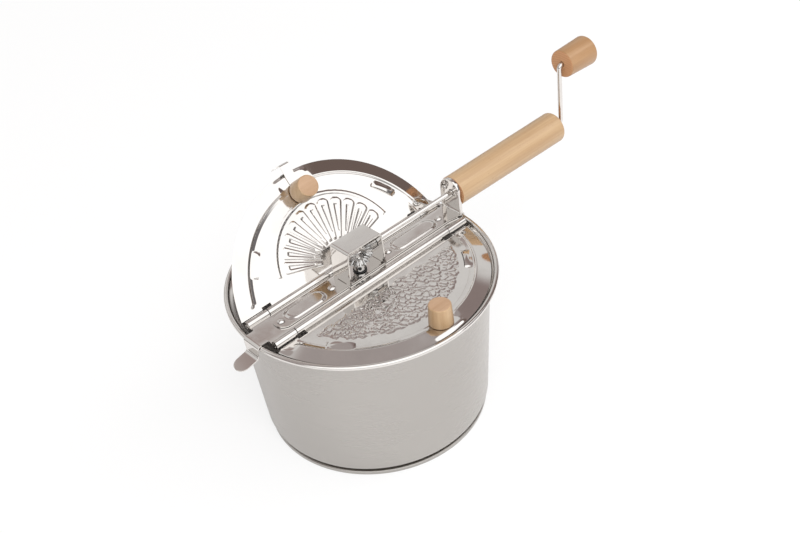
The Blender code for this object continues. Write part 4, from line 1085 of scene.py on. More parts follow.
@dataclass
class Bridge(Assembly):
    """Pressed bridge across the pot with its hooks, paddle, rolled knuckles and pins."""

    sheet: float = 1.2 * MM
    end_half: float = 10.2 * MM
    rear_half: float = 9.0 * MM
    paddle_half: float = 8.4 * MM
    paddle_length: float = 17.5 * MM
    paddle_bend: float = 3.2 * MM
    slope: float = 12.0
    hook_drop: float = 7.15 * MM
    half_width: float = 14.9 * MM
    stations: int = 12
    knuckle_sheet: float = 1.0 * MM
    knuckle_root: float = 2.2 * MM
    knuckle_wrap: float = 300.0
    pin_radius: float = 2.3 * MM
    pin_recess: float = 1.5 * MM
    pin_edge: float = 0.5 * MM

    def route(self) -> tuple[list[Point], list[float]]:
        """The bridge's middle line and half widths, from the rear hook to the tip of the paddle.

        Returns:
            The points of the line, and the half width at each.
        """
        lip_r, lip_z = PLAN.lip_centre
        mid = PLAN.bridge_mid
        curl = PLAN.lip_radius + PLAN.seat_gap + self.sheet / 2
        foot = lip_z - self.hook_drop
        line = [(lip_r + curl, foot, self.rear_half)]
        line += [(x, z, self.rear_half) for x, z in arc((lip_r, lip_z), curl, 0, 90, 12)]
        line += [(lip_r - 3 * MM, mid, self.end_half), (PLAN.knuckle_outer, mid, self.end_half)]
        wide = PLAN.knuckle_outer - 1 * MM
        for step in range(2 * self.stations + 1):
            line.append((wide * (1 - step / self.stations), mid, self.half_width))
        line += [(-PLAN.knuckle_outer, mid, self.end_half)]
        line += [(3 * MM - lip_r, mid, self.end_half)]
        for x, z in arc((-lip_r, lip_z), curl, 90, 180, 12):
            drop = min(1.0, (mid - z) / (PLAN.lip_radius + self.hook_drop))
            line.append((x, z, self.end_half + (self.paddle_half - self.end_half) * drop))
        bend = (-lip_r - curl - self.paddle_bend, foot)
        flare = arc(bend, self.paddle_bend, 0, self.slope - 90, 8)
        line += [(x, z, self.paddle_half) for x, z in flare]
        start = flare[-1]
        turn = math.radians(self.slope)
        for step in range(1, 21):
            share = step / 20 * 0.999
            out = self.paddle_length * share
            left = self.paddle_length - out
            inset = max(0.0, self.paddle_half - left)
            half = math.sqrt(max(self.paddle_half**2 - inset**2, (0.35 * MM) ** 2))
            line.append((start[0] - math.cos(turn) * out, start[1] - math.sin(turn) * out, half))
        return [(x, 0.0, z) for x, z, _ in line], [half for _, _, half in line]

    def build(self) -> None:
        """Builds and delivers the bridge and the pins in its knuckles."""
        route, halves = self.route()
        bridge = Bench.sheet("pressed_bridge", route, halves, cuts=[-1, -0.6, 0, 0.6, 1])
        Bench.thicken(bridge, self.sheet, 0.22 * MM)
        knuckles = [self._knuckle(side, end) for side in (-1, 1) for end in (-1, 1)]
        Bench.join([bridge, *knuckles])
        Bench.smooth(bridge, 40, weighted=True)
        self.deliver(bridge, Body.FRAME, Slot.POLISHED, STEEL, ["bridge"])
        for name, side in (("front", -1), ("rear", 1)):
            self._pin(name, side)

    def _knuckle(self, side: int, end: int) -> Piece:
        """One rolled knuckle: the bridge's sheet carried out and round the hinge axis.

        Args:
            side: -1 on the front side, 1 on the rear one.
            end: -1 at the paddle, 1 at the handle.

        Returns:
            The knuckle.
        """
        sheet = self.knuckle_sheet
        roll = PLAN.hinge_roll - sheet / 2
        drop = PLAN.bridge_mid - PLAN.hinge_z
        start = 180 - math.degrees(math.asin(drop / roll))
        curve = [(self.half_width - self.knuckle_root - PLAN.hinge_y, drop)]
        curve += arc((0, 0), roll, start, start - self.knuckle_wrap, 32)
        middle = end * (PLAN.knuckle_outer + PLAN.knuckle_inner) / 2
        route = [(middle, side * (PLAN.hinge_y + y), PLAN.hinge_z + z) for y, z in curve]
        half = (PLAN.knuckle_outer - PLAN.knuckle_inner) / 2
        knuckle = Bench.sheet("knuckle", route, [half] * len(route), across=(1, 0, 0))
        Bench.thicken(knuckle, sheet, 0.18 * MM)
        return knuckle

    def _pin(self, name: str, side: int) -> None:
        """One hinge pin with chamfered ends.

        Args:
            name: front or rear.
            side: -1 on the front side, 1 on the rear one.
        """
        radius, half, edge = self.pin_radius, PLAN.knuckle_outer - self.pin_recess, self.pin_edge
        outline = [(0, -half), (radius - edge, -half), (radius, edge - half)]
        outline += [(radius, half - edge), (radius - edge, half), (0, half)]
        centre = (0, side * PLAN.hinge_y, PLAN.hinge_z)
        pin = Bench.lathe(f"hinge_rod_{name}", outline, 40, centre, (1, 0, 0))
        Bench.smooth(pin, 30)
        self.deliver(pin, Body.FRAME, Slot.POLISHED, BRIGHT, [f"hinge_pin_{name}"])


@dataclass
class Strap(Assembly):
    """Strap on the bridge with its pressed ribs, arched plate and rivets."""

    sheet: float = 1.5 * MM
    half: float = 10.0 * MM
    front: float = 98.0 * MM
    arch_half: float = 12.0 * MM
    bend: float = 2.6 * MM
    rim_depth: float = 3.0 * MM
    rim_wall: float = 0.8 * MM
    flare: float = 14.0 * MM
    tip_half: float = 0.3 * MM
    stations: int = 150
    rib_height: float = 1.25 * MM
    rib_half: float = 8.5 * MM
    rib_slope: float = 2.6 * MM
    ribs: tuple[Pair, ...] = ((-85.6 * MM, -43.0 * MM), (40.0 * MM, 93.0 * MM))
    rivets: tuple[float, ...] = (-91.6 * MM, -34.0 * MM, 34.0 * MM, 99.0 * MM)
    screw_spread: float = 8.5 * MM
    screw_rise: float = 2.4 * MM

    def route(self) -> tuple[list[Point], list[float]]:
        """The strap's middle line and half widths, from its round front end to the top of the arch.

        Returns:
            The points of the line, and the half width at each.
        """
        level = PLAN.strap_low + self.sheet / 2
        line: list[tuple[float, float, float]] = []
        for step in range(13):
            turn = math.pi / 2 * step / 12
            along = self.half * (1 - math.cos(turn))
            line.append((-self.front + along, level, max(self.half * math.sin(turn), self.tip_half)))
        foot = PLAN.arch_x - self.bend
        first = -self.front + self.half
        last = foot - self.flare
        for step in range(1, self.stations + 1):
            line.append((first + (last - first) * step / self.stations, level, self.half))
        for step in range(1, 7):
            share = step / 7
            half = self.half + (self.arch_half - self.half) * ease(share * 1.15)
            line.append((last + self.flare * share, level, half))
        line += [(x, z, self.arch_half) for x, z in arc((foot, level + self.bend), self.bend, -90, 0, 8)]
        top = PLAN.arch_top - self.arch_half
        for step in range(25):
            turn = math.pi / 2 * step / 24
            half = max(self.arch_half * math.cos(turn), self.tip_half)
            line.append((PLAN.arch_x, top + self.arch_half * math.sin(turn), half))
        return [(x, 0.0, z) for x, z, _ in line], [half for _, _, half in line]

    def rib(self, x: float, y: float) -> float:
        """Height of the pressed rib at a place on the strap.

        Args:
            x: the place along the strap.
            y: the place across it.

        Returns:
            The height above the flat.
        """
        lift = 0.0
        for low, high in self.ribs:
            past = max(low + self.rib_half - x, x - high + self.rib_half, 0.0)
            inside = self.rib_half - math.hypot(past, y)
            lift = max(lift, self.rib_height * ease(inside / self.rib_slope))
        return lift

    def build(self) -> None:
        """Builds and delivers the strap, its rivets and the handle's screws."""
        route, halves = self.route()
        cuts = [step / 20 for step in range(-20, 21)]
        strap = Bench.sheet("handle_strap_plate", route, halves, cuts=cuts)
        for vertex in strap.data.vertices:
            if vertex.co.x < PLAN.arch_x - self.bend - 1 * MM:
                vertex.co.z += self.rib(vertex.co.x, vertex.co.y)
        Bench.thicken(strap, self.sheet * 0.8, 0.2 * MM)
        Bench.cut(strap, Bench.drill(PLAN.rod_radius + 0.7 * MM, 6 * MM, (PLAN.arch_x, 0, PLAN.crank_z)))
        Bench.join([strap, self._rim()])
        Bench.smooth(strap, 38)
        self.deliver(strap, Body.FRAME, Slot.POLISHED, STEEL, ["handle_strap"])
        self._rivets()
        self._screws()

    def _rim(self) -> Piece:
        """The arch's rim, turned forward into a shallow wall.

        Returns:
            The rim, in object mode.
        """
        wall = self.rim_wall
        reach = self.arch_half + 0.05 * MM - wall / 2
        top = PLAN.arch_top - self.arch_half
        foot = PLAN.strap_top + 0.2 * MM
        line = [(-reach, foot), *arc((0, top), reach, 180, 0, 32), (reach, foot)]
        front, back = PLAN.arch_x - self.rim_depth, PLAN.arch_x + 0.5 * MM
        route = [((front + back) / 2, y, z) for y, z in line]
        halves = [(back - front) / 2] * len(route)
        rim = Bench.sheet("arch_rim", route, halves, across=(1, 0, 0), cuts=[-1, 0, 1])
        Bench.thicken(rim, wall, 0.2 * MM)
        return rim

    def _rivets(self) -> None:
        """Four domed rivets with a dished middle."""
        head, tail = PLAN.strap_top + PLAN.seat_gap, PLAN.bridge_low - PLAN.seat_gap
        dome = arc((0, head - 2.6 * MM), 4.3 * MM, 72, 35, 8)[1:]
        outline = profile([(0, 1.25), (0.9, 1.3)], head) + dome + profile([(3.5, -0.15), (2.0, -0.15)], head)
        outline += profile([(2.0, 0), (3.1, 0), (3.1, -0.7), (2.7, -1.0), (0, -1.0)], tail)
        for number, x in enumerate(self.rivets, 1):
            rivet = Bench.lathe(f"rivet_{number}", outline, 40, (x, 0, 0), (0, 0, 1))
            Bench.smooth(rivet, 35)
            self.deliver(rivet, Body.FRAME, Slot.POLISHED, STEEL, [f"bridge_rivet_{number}"])

    def _screws(self) -> None:
        """Two round-headed screws with crossed slots through the arched plate."""
        foot = PLAN.arch_x - self.sheet / 2 - PLAN.seat_gap
        outline = profile([(0, 17.35), (0.5, 17.35), (1.8, 14.3), (1.8, 0), (2.6, 0)])
        outline += profile([(2.5, -0.8), (1.9, -1.5), (0.8, -1.8), (0, -1.8)])
        for name, side in (("front", -1), ("rear", 1)):
            at = (foot, side * self.screw_spread, PLAN.crank_z + self.screw_rise)
            screw = Bench.lathe(f"handle_screw_head_{name}", outline, 32, at, (1, 0, 0))
            for spin in (45, 135):
                slot = Bench.block((-1.0 * MM, -0.4 * MM, -2.2 * MM), (1.0 * MM, 0.4 * MM, 2.2 * MM))
                place = Matrix.Translation((foot - 1.8 * MM, at[1], at[2]))
                slot.matrix_world = place @ Matrix.Rotation(math.radians(spin), 4, "X") @ slot.matrix_world
                Bench.cut(screw, slot)
            Bench.smooth(screw, 35)
            self.deliver(screw, Body.FRAME, Slot.POLISHED, STEEL, [f"handle_screw_{name}"])


@dataclass
class GearCage(Assembly):
    """Bent bracket with its bevel gears, washer and bush."""

    length: float = 40.6 * MM
    half: float = 11.8 * MM
    sheet: float = 1.4 * MM
    bend: float = 2.0 * MM
    foot_x: float = 21.1 * MM
    tab: Pair = (6.0 * MM, 10.0 * MM)
    tab_reach: float = 1.2 * MM

    def build(self) -> None:
        """Builds and delivers the bracket and what is in it."""
        self._bracket()
        for node, body, finish, slot in (
            ("driven_gear", Body.STIRRER, GearMetal(), Slot.GEAR),
            ("pinion", Body.CRANK, GearMetal(), Slot.GEAR),
            ("gear_set_screw", Body.STIRRER, BlackNylon(), Slot.NYLON),
            ("shaft_washer", Body.FRAME, BlackNylon(), Slot.NYLON),
            ("shaft_bush", Body.FRAME, BlackNylon(), Slot.NYLON),
            ("shaft_clip", Body.STIRRER, STEEL, Slot.POLISHED),
        ):
            piece = Bench.copy_of(node, f"{node}_finished")
            Bench.bevel(piece, 0.16 * MM, 2, 35)
            Bench.smooth(piece, 32)
            self.deliver(piece, body, slot, finish, [node])

    def _bracket(self) -> None:
        """The bracket: one bent strip with four tabs through strap and bridge."""
        top = PLAN.arch_top - self.sheet / 2
        half = self.length / 2 - self.sheet / 2
        foot = PLAN.strap_top + PLAN.seat_gap
        left = arc((-half + self.bend, top - self.bend), self.bend, 180, 90, 8)
        right = arc((half - self.bend, top - self.bend), self.bend, 90, 0, 8)
        line = [(-self.foot_x, foot), *left, *right, (self.foot_x, foot)]
        route = [(x, 0.0, z) for x, z in line]
        inner, outer = self.tab
        cuts = [place / self.half for place in (-self.half, -outer, -inner, inner, outer, self.half)]
        bracket = Bench.sheet("gear_bracket_cage", route, [self.half] * len(route), cuts=cuts)
        self._tabs(bracket, foot)
        Bench.thicken(bracket, self.sheet, 0.22 * MM)
        Bench.cut(bracket, Bench.drill(PLAN.rod_radius + 0.5 * MM, 12 * MM, (20 * MM, 0, PLAN.crank_z)))
        Bench.smooth(bracket, 38, weighted=True)
        self.deliver(bracket, Body.FRAME, Slot.POLISHED, STEEL, ["gear_bracket"])

    def _tabs(self, bracket: Piece, foot: float) -> None:
        """Carries the two tab edges of each leg down through the bridge.

        Args:
            bracket: the open strip.
            foot: height of the ends of its legs.
        """

        def is_tab(edge: bpy.types.MeshEdge) -> bool:
            """Tells whether an edge at the leg's foot belongs to a tab.

            Args:
                edge: the edge.

            Returns:
                Whether it is a tab's.
            """
            ends = [bracket.data.vertices[index].co for index in edge.vertices]
            middle = (ends[0] + ends[1]) / 2
            low = all(abs(end.z - foot) < 1e-5 for end in ends)
            return low and self.tab[0] + 1 * MM < abs(middle.y) < self.tab[1] - 1 * MM

        Bench.pick(bracket, "EDGE", is_tab)
        Bench.extrude_along([(0, 0, foot), (0, 0, PLAN.bridge_low - self.tab_reach)])
        Bench.leave()


@dataclass
class Handle(Assembly):
    """Turned wooden handle."""

    start_radius: float = 14.95 * MM
    end_radius: float = 15.75 * MM
    start_edge: float = 0.8 * MM
    edge: float = 2.2 * MM
    bore: float = 2.8 * MM
    rings: int = 8

    def build(self) -> None:
        """Builds and delivers the handle."""
        start, end = PLAN.handle_start, PLAN.handle_end
        small, large, edge = self.start_radius, self.end_radius, self.start_edge
        outline = [(self.bore, start), (small - edge, start)]
        outline += arc((small - edge, start + edge), edge, -90, 0, 4)[1:]
        for step in range(1, self.rings):
            share = step / self.rings
            outline.append((small + (large - small) * share, start + (end - start) * share))
        outline += arc((large - self.edge, end - self.edge), self.edge, 0, 90, 8)
        outline += [(self.bore + 0.4 * MM, end), (self.bore, end - 0.5 * MM), (self.bore, start)]
        handle = Bench.lathe("wood_handle", outline, 96, (0, 0, PLAN.crank_z), (1, 0, 0))
        Bench.smooth(handle, 35)
        paint_ends(handle, WOOD, EndGrain(centre=(0, 0, PLAN.crank_z)), Vector((1, 0, 0)))
        self.deliver(handle, Body.FRAME, Slot.WOOD, None, ["handle"])


def paint_ends(piece: Piece, side: Finish, end: Finish, axis: Vector) -> None:
    """Gives the faces that look along the grain the cut finish, and the rest the long one.

    Args:
        piece: the wooden piece.
        side: the finish along the grain.
        end: the finish of the cut ends.
        axis: the direction of the grain.
    """
    piece.data.materials.clear()
    piece.data.materials.append(RACK.get(side))
    piece.data.materials.append(RACK.get(end))
    for face in piece.data.polygons:
        face.material_index = int(abs(face.normal.dot(axis)) > 0.8)


@dataclass
class Crank(Assembly):
    """Bent crank rod with the wooden knob that spins on it."""

    bend: float = 4.0 * MM
    rod_start: float = 5.35 * MM
    rod_recess: float = 2.2 * MM
    knob_length: float = 36.5 * MM
    inner_radius: float = 14.0 * MM
    outer_radius: float = 15.2 * MM
    edge: float = 1.3 * MM
    bore: float = 2.8 * MM
    recess: float = 5.4 * MM
    recess_depth: float = 4.4 * MM

    def build(self) -> None:
        """Builds and delivers the rod, its knob and the knob's retainer."""
        end = PLAN.knob_start + self.knob_length - self.rod_recess
        low, top = PLAN.crank_z, PLAN.crank_z + PLAN.crank_arm
        arm = PLAN.crank_arm_x
        corners = [(self.rod_start, 0, low), (arm, 0, low), (arm - PLAN.crank_lean, 0, top), (end, 0, top)]
        rod = Bench.wire("crank_rod_bent", rounded(corners, self.bend, 14), PLAN.rod_radius, 8)
        Bench.bevel(rod, 0.3 * MM, 2, 60)
        Bench.smooth(rod, 40)
        self.deliver(rod, Body.CRANK, Slot.POLISHED, BRIGHT, ["crank_rod"])
        self._knob(top)
        piece = Bench.copy_of("crank_knob_retainer", "crank_knob_washer")
        Bench.smooth(piece, 32)
        self.deliver(piece, Body.CRANK, Slot.POLISHED, STEEL, ["crank_knob_retainer"])

    def _knob(self, height: float) -> None:
        """The crank's wooden knob.

        Args:
            height: height of the rod's outer end, on which it turns.
        """
        small, large, edge = self.inner_radius, self.outer_radius, self.edge
        far = self.knob_length
        outline = [(self.bore, 0), (small - edge, 0)]
        outline += arc((small - edge, edge), edge, -90, 0, 5)[1:]
        outline += arc((large - edge * 1.5, far - edge * 1.5), edge * 1.5, 0, 90, 7)
        floor = far - self.recess_depth
        outline += [(self.recess, far), (self.recess, floor), (self.bore, floor), (self.bore, 0)]
        knob = Bench.lathe("crank_knob_wood", outline, 80, (PLAN.knob_start, 0, height), (1, 0, 0))
        Bench.smooth(knob, 35)
        light, dark = (0.41, 0.245, 0.125), (0.33, 0.18, 0.08)
        finish = TurnedWood(name="beech_wood_knob", shift=(0.21, 0.3, 0.16), light=light, dark=dark)
        ends = EndGrain(name="beech_end_knob", centre=(0, 0, height))
        paint_ends(knob, finish, ends, Vector((1, 0, 0)))
        self.deliver(knob, Body.GRIP, Slot.WOOD, None, ["crank_knob"])


@dataclass
class Stirrer(Assembly):
    """Upright shaft, hub and the wire that sweeps the floor."""

    shaft_radius: float = 2.5 * MM
    shaft_low: float = 12.5 * MM
    shaft_high: float = 168.35 * MM
    hub_radius: float = 5.5 * MM
    hub_low: float = 6.1 * MM
    hub_height: float = 9.0 * MM
    wire_radius: float = 1.5 * MM
    wire_z: float = 8.8 * MM
    reach: float = 94.0 * MM
    bow: float = 22.0 * MM
    turn_up: float = 12.0 * MM
    bend: float = 6.0 * MM

    def build(self) -> None:
        """Builds and delivers the stirrer's visible pieces."""
        low, high, r = self.shaft_low, self.shaft_high, self.shaft_radius
        edge = 0.5 * MM
        outline = [(0, high), (r - edge, high), (r, high - edge), (r, low + edge), (r - edge, low), (0, low)]
        shaft = Bench.lathe("stirrer_shaft_rod", outline, 40, (0, 0, 0), (0, 0, 1))
        Bench.smooth(shaft, 30)
        upright = PolishedSteel(name="polished_shaft", ripple=0.0, hairline=(60.0, 60.0, 900.0))
        self.deliver(shaft, Body.STIRRER, Slot.POLISHED, upright, ["stirrer_shaft"])
        r, low = self.hub_radius, self.hub_low
        high = low + self.hub_height
        outline = [(0, high), (3.2 * MM, high), (r - 1 * MM, high)]
        outline += arc((r - 1 * MM, high - 1 * MM), 1 * MM, 90, 0, 5)[1:]
        outline += [(r, low + 0.4 * MM), (r - 0.4 * MM, low), (0, low)]
        hub = Bench.lathe("stirrer_hub_turned", outline, 48, (0, 0, 0), (0, 0, 1))
        Bench.smooth(hub, 32)
        self.deliver(hub, Body.STIRRER, Slot.POLISHED, upright, ["stirrer_hub"])
        wire = Bench.wire("stirrer_wire_bent", self.route(), self.wire_radius, 5)
        Bench.bevel(wire, 0.3 * MM, 2, 60)
        Bench.smooth(wire, 40)
        self.deliver(wire, Body.STIRRER, Slot.POLISHED, STEEL, ["stirrer_wire"])

    def route(self) -> list[Vector]:
        """The wire's line: two opposite bowed arms with turned-up ends.

        Returns:
            The line's points, from one end to the other.
        """
        straight = self.hub_radius + 2 * MM
        arm = []
        for step in range(25):
            share = step / 24
            side = self.bow * math.sin(share * math.pi / 2) ** 2 * share
            arm.append(Vector((straight + (self.reach - straight) * share, side, self.wire_z)))
        end = arm[-1].copy()
        onward = (arm[-1] - arm[-2]).normalized()
        up = Vector((0, 0, 1))
        for step in range(1, 11):
            turn = math.pi / 2 * step / 10
            arm.append(end + onward * self.bend * math.sin(turn) + up * self.bend * (1 - math.cos(turn)))
        arm.append(arm[-1] + up * (self.turn_up - self.bend))
        other = [Vector((-point.x, -point.y, point.z)) for point in reversed(arm)]
        return other + arm


class Motif:
    """A pattern that the die presses into a half lid."""

    def height(self, across: float, out: float) -> float:
        """Height of the pattern at a place on the lid.

        Args:
            across: distance from the middle along the hinge.
            out: distance from the pot's axis, square to the hinge.

        Returns:
            The height above the flat.
        """
        raise NotImplementedError


@dataclass(frozen=True)
class Pebbles(Motif):
    """A half-moon panel of small irregular pebbles with a wandering outline."""

    depth: float = 0.55 * MM
    cell: float = 5.4 * MM
    groove: float = 0.22
    near: float = 33.0 * MM
    far: float = 88.5 * MM
    soft: float = 1.3 * MM

    def height(self, across: float, out: float) -> float:
        """Height of the pebbles at a place on the lid.

        Args:
            across: distance from the middle along the hinge.
            out: distance from the pot's axis, square to the hinge.

        Returns:
            The height above the flat.
        """
        place = Vector((across, out, 0.0))
        wander = noise.noise(place / (9 * MM)) * 5 * MM
        edge = min(self.far - math.hypot(across, out) - abs(wander), out - self.near - wander)
        if edge <= 0:
            return 0.0
        sway = Vector((noise.noise(place / (7 * MM) + Vector((9, 0, 0))), noise.noise(place / (7 * MM)), 0.0))
        near, far = noise.voronoi(place / self.cell + sway * 0.45)[0][:2]
        return self.depth * ease(edge / self.soft) * ease((far - near) / self.groove) * (1 - 0.3 * near**2)


@dataclass(frozen=True)
class Fan(Motif):
    """A fan of rounded blades, each with a sunk middle, between two beads."""

    depth: float = 0.8 * MM
    root: float = 22.0 * MM
    blades: int = 11
    spread: float = 2.62
    band: Pair = (21.0 * MM, 60.0 * MM)
    bead: float = 65.0 * MM
    soft: float = 1.1 * MM

    def height(self, across: float, out: float) -> float:
        """Height of the fan at a place on the lid.

        Args:
            across: distance from the middle along the hinge.
            out: distance from the pot's axis, square to the hinge.

        Returns:
            The height above the flat.
        """
        radius = math.hypot(across, out - self.root)
        turn = math.atan2(out - self.root, across) - (math.pi - self.spread) / 2
        if out < self.root or not 0 < turn < self.spread:
            return 0.0
        pitch = self.spread / self.blades
        aside = abs((turn % pitch) - pitch / 2) * radius
        half = pitch * radius / 2 - 0.9 * MM
        low, high = self.band
        tip = high - radius - max(0.0, aside - half * 0.2) ** 2 / (half * 1.2)
        inside = min(half - aside, radius - low, tip)
        middle = min(half * 0.45 - aside, radius - low - 7 * MM, tip - 6 * MM)
        blade = ease(inside / self.soft) - ease(middle / self.soft)
        rim = ease((1.9 * MM - abs(radius - self.bead)) / self.soft)
        return self.depth * max(blade, rim)


@dataclass
class HalfLid(Assembly):
    """One pressed half lid with its vents, rolled barrel, knob and screw, made closed and then turned."""

    name: str
    body: Body
    motif: Motif
    turn: Matrix
    knob_reach: float
    knob_lift: float = 0.0
    steps: int = 360
    ridge_foot: float = 101.3 * MM
    ridge_crest: float = 104.5 * MM
    ridge_height: float = 2.0 * MM
    apron_width: float = 3.6 * MM
    apron_rise: float = 0.7 * MM
    brim_width: float = 3.6 * MM
    brim_drop: float = 2.3 * MM
    step_radius: float = 98.0 * MM
    step_height: float = 0.25 * MM
    ridge_start: Pair = (27.0 * MM, 7.0 * MM)
    pad: Pair = (12.5 * MM, 6.0 * MM)
    slit: Pair = (93.0 * MM, 93.7 * MM)
    vent_radius: float = 94.0 * MM
    vent_angle: float = 38.0
    vent_width: float = 7.0 * MM
    vent_half_length: float = 12.3 * MM
    vent_height: float = 2.7 * MM
    knob_height: float = 19.5 * MM
    knob_top: float = 10.0 * MM
    knob_foot: float = 10.9 * MM
    level: float = PLAN.lid_sheet / 2 - PLAN.hinge_roll
    chord: float = -4.4 * MM
    snap: float = 0.12 * MM
    merge: float = 0.5 * MM
    roll_start: float = -1.2 * MM
    roll_end: float = 215.0
    notch_low: float = chord - 2.2 * MM
    notch_top: float = -3.0 * MM
    notch_in: float = PLAN.barrel_half - 8 * MM
    notch_out: float = PLAN.barrel_half + 1.6 * MM

    def radii(self) -> list[float]:
        """Places of the rings of the pressed sheet.

        Returns:
            The radii, from the middle outwards.
        """
        flat = [0, 12, 18, 22, *(23 + 0.8 * step for step in range(87)), 93.0, 93.7, 94.0]
        hood = [94.0 + 0.6 * step for step in range(1, 12)]
        ridge = [101.3 + 0.4 * step for step in range(13)]
        edge = [107.0, 108.0, 109.2, 110.4, 111.6, 112.7, 113.7, 114.7, 115.6, 116.3, 116.8]
        return [value * MM for value in flat + hood + ridge + edge]

    def press(self, across: float, out: float) -> float:
        """Height that the die gives the sheet at a place.

        Args:
            across: distance from the middle along the hinge.
            out: distance from the pot's axis, square to the hinge.

        Returns:
            The height above the flat.
        """
        radius = math.hypot(across, out)
        angle = math.atan2(out, across)
        height = self.step_height * (1 - ease((radius - self.step_radius) / (0.9 * MM)))
        pressed = 1.0
        for place, (start, width) in ((out, self.ridge_start), (abs(across), self.pad)):
            pressed *= ease((place - start) / width)
        brim = radius - PLAN.lid_radius + self.brim_width + 0.3 * MM
        plain = -self.brim_drop * ease(brim / (self.brim_width * 1.1))
        height += plain + (self.ridge(radius) - plain) * pressed + self.motif.height(across, out)
        for side in (-1, 1):
            middle = math.pi / 2 - side * (math.pi / 2 - math.radians(self.vent_angle))
            reach = (angle - middle) * radius / self.vent_half_length
            out_share = (radius - self.vent_radius) / self.vent_width
            if abs(reach) < 1 and -0.02 < out_share < 1:
                lengthwise = math.sqrt(1 - reach**2)
                height += self.vent_height * lengthwise * math.cos(math.pi / 2 * max(0.0, out_share)) ** 0.8
        return height

    def ridge(self, radius: float) -> float:
        """Height of the ridge: up a low slope and a step, over a rounded crest and down to the edge.

        Args:
            radius: distance from the pot's axis.

        Returns:
            The height above the flat.
        """
        apron = self.apron_rise * min(max(1 + (radius - self.ridge_foot) / self.apron_width, 0.0), 1.0)
        step = ease((radius - self.ridge_foot) / (self.ridge_crest - self.ridge_foot))
        rise = apron + (self.ridge_height * 1.12 - apron) * step
        slope = (self.ridge_height + self.brim_drop) / (PLAN.lid_radius - self.ridge_crest)
        fall = self.ridge_height - slope * (radius - self.ridge_crest)
        if radius < self.ridge_foot:
            return apron
        round_off = max(0.3 * MM - abs(rise - fall), 0.0)
        return min(rise, fall) - round_off**2 / (1.2 * MM)

    def build(self) -> None:
        """Builds and delivers the lid, its knob and its screw."""
        lid = self._sheet()
        self._slit(lid)
        self._stamp(lid)
        self._roll(lid)
        self._notch(lid)
        Bench.thicken(lid, PLAN.lid_sheet)
        Bench.smooth(lid, 40)
        self._hand_over(lid, Slot.POLISHED, STEEL, [f"lid_{self.name}"])
        self._knob()
        self._screw()

    def _hand_over(self, piece: Piece, slot: Slot, finish: Finish | None, nodes: Sequence[str]) -> None:
        """Turns a piece to the lid's place and delivers it."""
        Bench.settle(piece, self.turn)
        self.deliver(piece, self.body, slot, finish, nodes)

    def _sheet(self) -> Piece:
        """The round sheet, spun as a half disc and cut along its straight edge.

        Returns:
            The flat sheet, in object mode.
        """
        centre = (0, PLAN.hinge_y, self.level)
        points = [(radius, PLAN.hinge_y, self.level) for radius in self.radii()]
        lid = Bench.line(f"half_lid_{self.name}", points)
        bpy.ops.mesh.select_all(action="SELECT")
        bpy.ops.mesh.spin(steps=self.steps, angle=-math.pi, center=centre, axis=(0, 0, 1))
        bpy.ops.mesh.select_all(action="SELECT")
        bpy.ops.mesh.remove_doubles(threshold=1e-6)
        bpy.ops.object.mode_set(mode="OBJECT")
        lowest = min(vertex.co.y for vertex in lid.data.vertices)
        if lowest > PLAN.hinge_y - 1 * MM:
            for vertex in lid.data.vertices:
                vertex.co.y = 2 * PLAN.hinge_y - vertex.co.y
        Bench.edit(lid)
        bpy.ops.mesh.bisect(plane_co=(0, self.chord, 0), plane_no=(0, 1, 0), clear_outer=True)
        bpy.ops.mesh.select_all(action="SELECT")
        bpy.ops.mesh.bisect(plane_co=(0, self.notch_low, 0), plane_no=(0, 1, 0))
        for limit in (PLAN.barrel_half, self.notch_in, self.notch_out):
            for place in (-limit, limit):
                bpy.ops.mesh.select_all(action="SELECT")
                bpy.ops.mesh.bisect(plane_co=(place, 0, 0), plane_no=(1, 0, 0))
        bpy.ops.object.mode_set(mode="OBJECT")
        for vertex in lid.data.vertices:
            if abs(vertex.co.y - self.chord) < self.snap:
                vertex.co.y = self.chord
        return lid

    def _notch(self, lid: Piece) -> None:
        """Opens the notch at each end of the barrel, where the sheet is cut so that it can be rolled.

        Args:
            lid: the rolled sheet.
        """

        def in_notch(face: bpy.types.MeshPolygon) -> bool:
            """Tells whether a face lies in a notch.

            Args:
                face: the face.

            Returns:
                Whether it is cut away.
            """
            x, y, z = face.center
            within = self.notch_in < abs(x) < self.notch_out
            return within and self.notch_low < y < self.roll_start and z < self.notch_top

        Bench.pick(lid, "FACE", in_notch)
        bpy.ops.mesh.delete(type="FACE")
        Bench.leave()

    def _slit(self, lid: Piece) -> None:
        """Opens the slit on the inner side of each hood.

        Args:
            lid: the flat sheet.
        """

        def in_slit(face: bpy.types.MeshPolygon) -> bool:
            """Tells whether a face lies in a hood's slit.

            Args:
                face: the face.

            Returns:
                Whether it is cut away.
            """
            across, out = face.center.x, PLAN.hinge_y - face.center.y
            radius = math.hypot(across, out)
            away = abs(abs(math.degrees(math.atan2(out, across)) - 90) - (90 - self.vent_angle))
            inside = math.radians(away) * radius < self.vent_half_length * 0.86
            return inside and self.slit[0] < radius < self.slit[1]

        Bench.pick(lid, "FACE", in_slit)
        bpy.ops.mesh.delete(type="FACE")
        Bench.leave()

    def _stamp(self, lid: Piece) -> None:
        """Presses the sheet."""
        for vertex in lid.data.vertices:
            vertex.co.z += self.press(vertex.co.x, PLAN.hinge_y - vertex.co.y)

    def _roll(self, lid: Piece) -> None:
        """Rolls the straight edge up and round the hinge axis.

        Args:
            lid: the pressed sheet.
        """

        def on_chord(vertex: bpy.types.MeshVertex) -> bool:
            """Tells whether a vertex lies on the straight edge."""
            return abs(vertex.co.y - self.chord) < 1e-5

